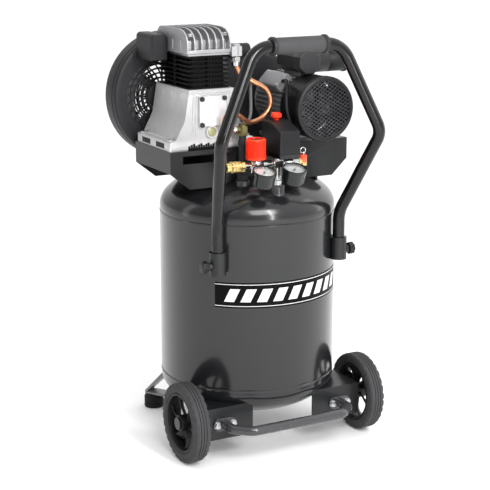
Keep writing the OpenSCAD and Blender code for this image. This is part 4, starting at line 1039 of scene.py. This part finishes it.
dial = Shape()
rings = [fluted(r, w, depth) for r, w, depth in
         ((4.05, 618.4, 0), (19.4, 618.4, 0), (20.6, 619.6, 0), (20.8, 624, 0), (20.4, 625, 0.9),
          (20.2, 654, 0.9), (20.4, 656, 0.2), (19.6, 659, 0), (18, 660.3, 0), (15.6, 660.2, 0),
          (15, 659, 0), (14.6, 652, 0), (4.05, 652, 0))]
dial.loops(rings, closed=True)
dial.make("regulator_cap", red, "red_plastic", ("regulator_knob",), body="regulator_handle", smooth=40)
star = Shape()
star.lobed([(10.6 * size, 2.4 * size, w) for size,
            w in ((1, 652.1), (1, 657.4), (0.93, 658.6), (0.3, 658.8))],
           6, (RX, TY, 0), n=120)
star.make("regulator_star", black_plastic, "black_plastic", body="regulator_handle", smooth=40)

outlet = Shape()
outlet.hexagon((RX - 34, TY, TZ), "x", 19, 8)
outlet.lathe([(5.6, -125), (9.4, -125), (10, -124), (10, -115.5), (11, -114.6), (12, -113.4), (12, -108),
              (11.2, -107), (11.2, -105.6),
              (12, -104.6), (12, -93), (10.4, -91), (5.6, -91)], (0, TY, TZ), "x", 48, closed=True)
outlet.rod(5.7, -103.6, -84, (0, TY, TZ), "x", 24)
outlet.make("outlet_socket", brass, "fitting_brass", ("outlet_coupling",), bevel=0.3, smooth=40)

relief = Shape()
relief.hexagon((52, TY, 597), "z", 16.6, 8)
relief.rod(7.6, 40, 47, (0, TY, TZ), "x", 24)
relief.make("relief_base", brass, "fitting_brass", bevel=0.4, smooth=40)
bonnet = Shape()
bonnet.lathe([(2.7, 604.4), (8.3, 604.4), (8.3, 616), (7.6, 618.4), (5.4, 619), (2.7, 619)], (52, TY, 0),
             n=32, closed=True)
bonnet.make("relief_bonnet", red, "red_plastic", ("safety_valve",), smooth=40)
pull = Shape()
pull.lathe([(NEAR_AXIS, 612), (2.2, 612), (2.2, 620), (3.6, 620.6), (4.2, 622.4), (3.4, 624.6),
            (NEAR_AXIS, 625)], (52, TY, 0), n=24)
ringpath = [(52 + 6 * cos(2 * pi * k / 28), TY, 627.5 + 6 * sin(2 * pi * k / 28)) for k in range(28)]
loops = []
for k, p in enumerate(ringpath):
    a = 2 * pi * k / 28
    out = Vector((cos(a), 0, sin(a)))
    loops.append([Vector(p) + 1.15 * (cos(2 * pi * j / 12) * out
                                      + sin(2 * pi * j / 12) * Vector((0, 1, 0))) for j in range(12)])
pull.loops(loops, closed=True)
pull.make("relief_pull_ring", nickel, "nickel_plate", ("safety_ring",), body="relief_ring", smooth=60)

GAUGE_TILT = radians(18)
for i, (gx, side_name) in enumerate(((-60.4, "left"), (8.6, "right"))):
    place = Matrix.Translation((gx, -184, 600)) @ Matrix.Rotation(GAUGE_TILT, 4, "X")
    case = Shape()
    case.turned([(19, -30), (22, -28), (23.6, -23), (24, -5), (24.4, -4.2), (24.5, 1.5), (23.9, 2.7),
                 (22.6, 3), (21.6, 2.2),
                (21.4, -4.2)], n=64)
    case.moved(place)
    case.make(f"gauge_{side_name}_case", gauge_black, "gauge_steel",
              ("gauge_bodies",) if i == 0 else (), smooth=35)
    face = Shape().rod(21.3, -4.2, -3.6, n=56).moved(place)
    face.make(f"gauge_{side_name}_dial", dial_white, "gauge_steel", smooth=35)
    marks = Shape()
    for k in range(31):
        a = radians(225 - 270 * k / 30)
        long = k % 5 == 0
        r0, r1, half = (14.6 if long else 16.8), 19.2, (0.42 if long else 0.2)
        marks.blade(a, r0, r1, half, half, -3.62, -3.45)
    rings = []
    for k in range(41):
        a = radians(225 - 270 * k / 40)
        u = Vector((cos(a), sin(a), 0))
        rings.append([u * 19.3 + Vector((0, 0, -3.62)), u * 19.9 + Vector((0, 0, -3.62)),
                      u * 19.9 + Vector((0, 0, -3.46)),
                      u * 19.3 + Vector((0, 0, -3.46))])
    marks.loops(rings)
    marks.moved(place)
    marks.make(f"gauge_{side_name}_marks", ink, "needle_paint", smooth=35)
    pointer = Shape()
    pointer.blade(radians(225), -5, 16, 1.1, 0.25, -3.0, -2.3)
    pointer.turned([(2.5, -3.0), (2.5, -1.9), (1.8, -1.4)], n=28)
    pointer.moved(place)
    pointer.make(f"gauge_{side_name}_pointer", ink, "needle_paint", (side_name + "_needle",),
                 body=side_name + "_pointer", smooth=40)
    lens = Shape().lathe([(NEAR_AXIS, 1.0), (21.9, 0.2), (22.4, 0.4), (22.4, 1.2), (21.8, 1.5), (12, 2.1),
                          (NEAR_AXIS, 2.4)], n=56).moved(place)
    lens.make(f"gauge_{side_name}_glass", glass, "gauge_glass", ("gauge_lenses",) if i == 0 else (),
              smooth=60)

# ---------------------------------------------------------------- bolts
bolts = Shape()
dark_heads = Shape()


def bolt(centre, axis, across, height, flip=1, washer=0.0):
    if washer:
        lo_w, hi_w = (0, 1.2) if flip > 0 else (-1.2, 0)
        bolts.rod(washer, lo_w, hi_w, centre, axis, 28)
    bolts.hexagon(centre, axis, across, flip * height)


for s in (-1, 1):
    for y in (-56, 70):
        bolt((PUMP_X + s * 86, y, DECK_Z + 18.2), "z", 13, 5, 1, 8)
    for t in (-1, 1):
        dark_heads.turned([(4.2, -3.6), (5, -3), (5, 0)], (PUMP_X + s * 25, -76, CRANK_Z + t * 26), "y", 24)
        bolt((s * 138 + t * 18, -162, BAR_Z), "y", 13, 5.5, -1, 8)
    for y in (-50, 10, 70):
        bolt((PUMP_X + s * 38.2, y, 858), "z", 10, 6, 1, 7)
dark_heads.make("cover_bolts", dark_steel, "bolt_steel", smooth=35)
bolts.make("hex_bolts", zinc, "bolt_steel", ("fasteners",), bevel=0.35, smooth=35)
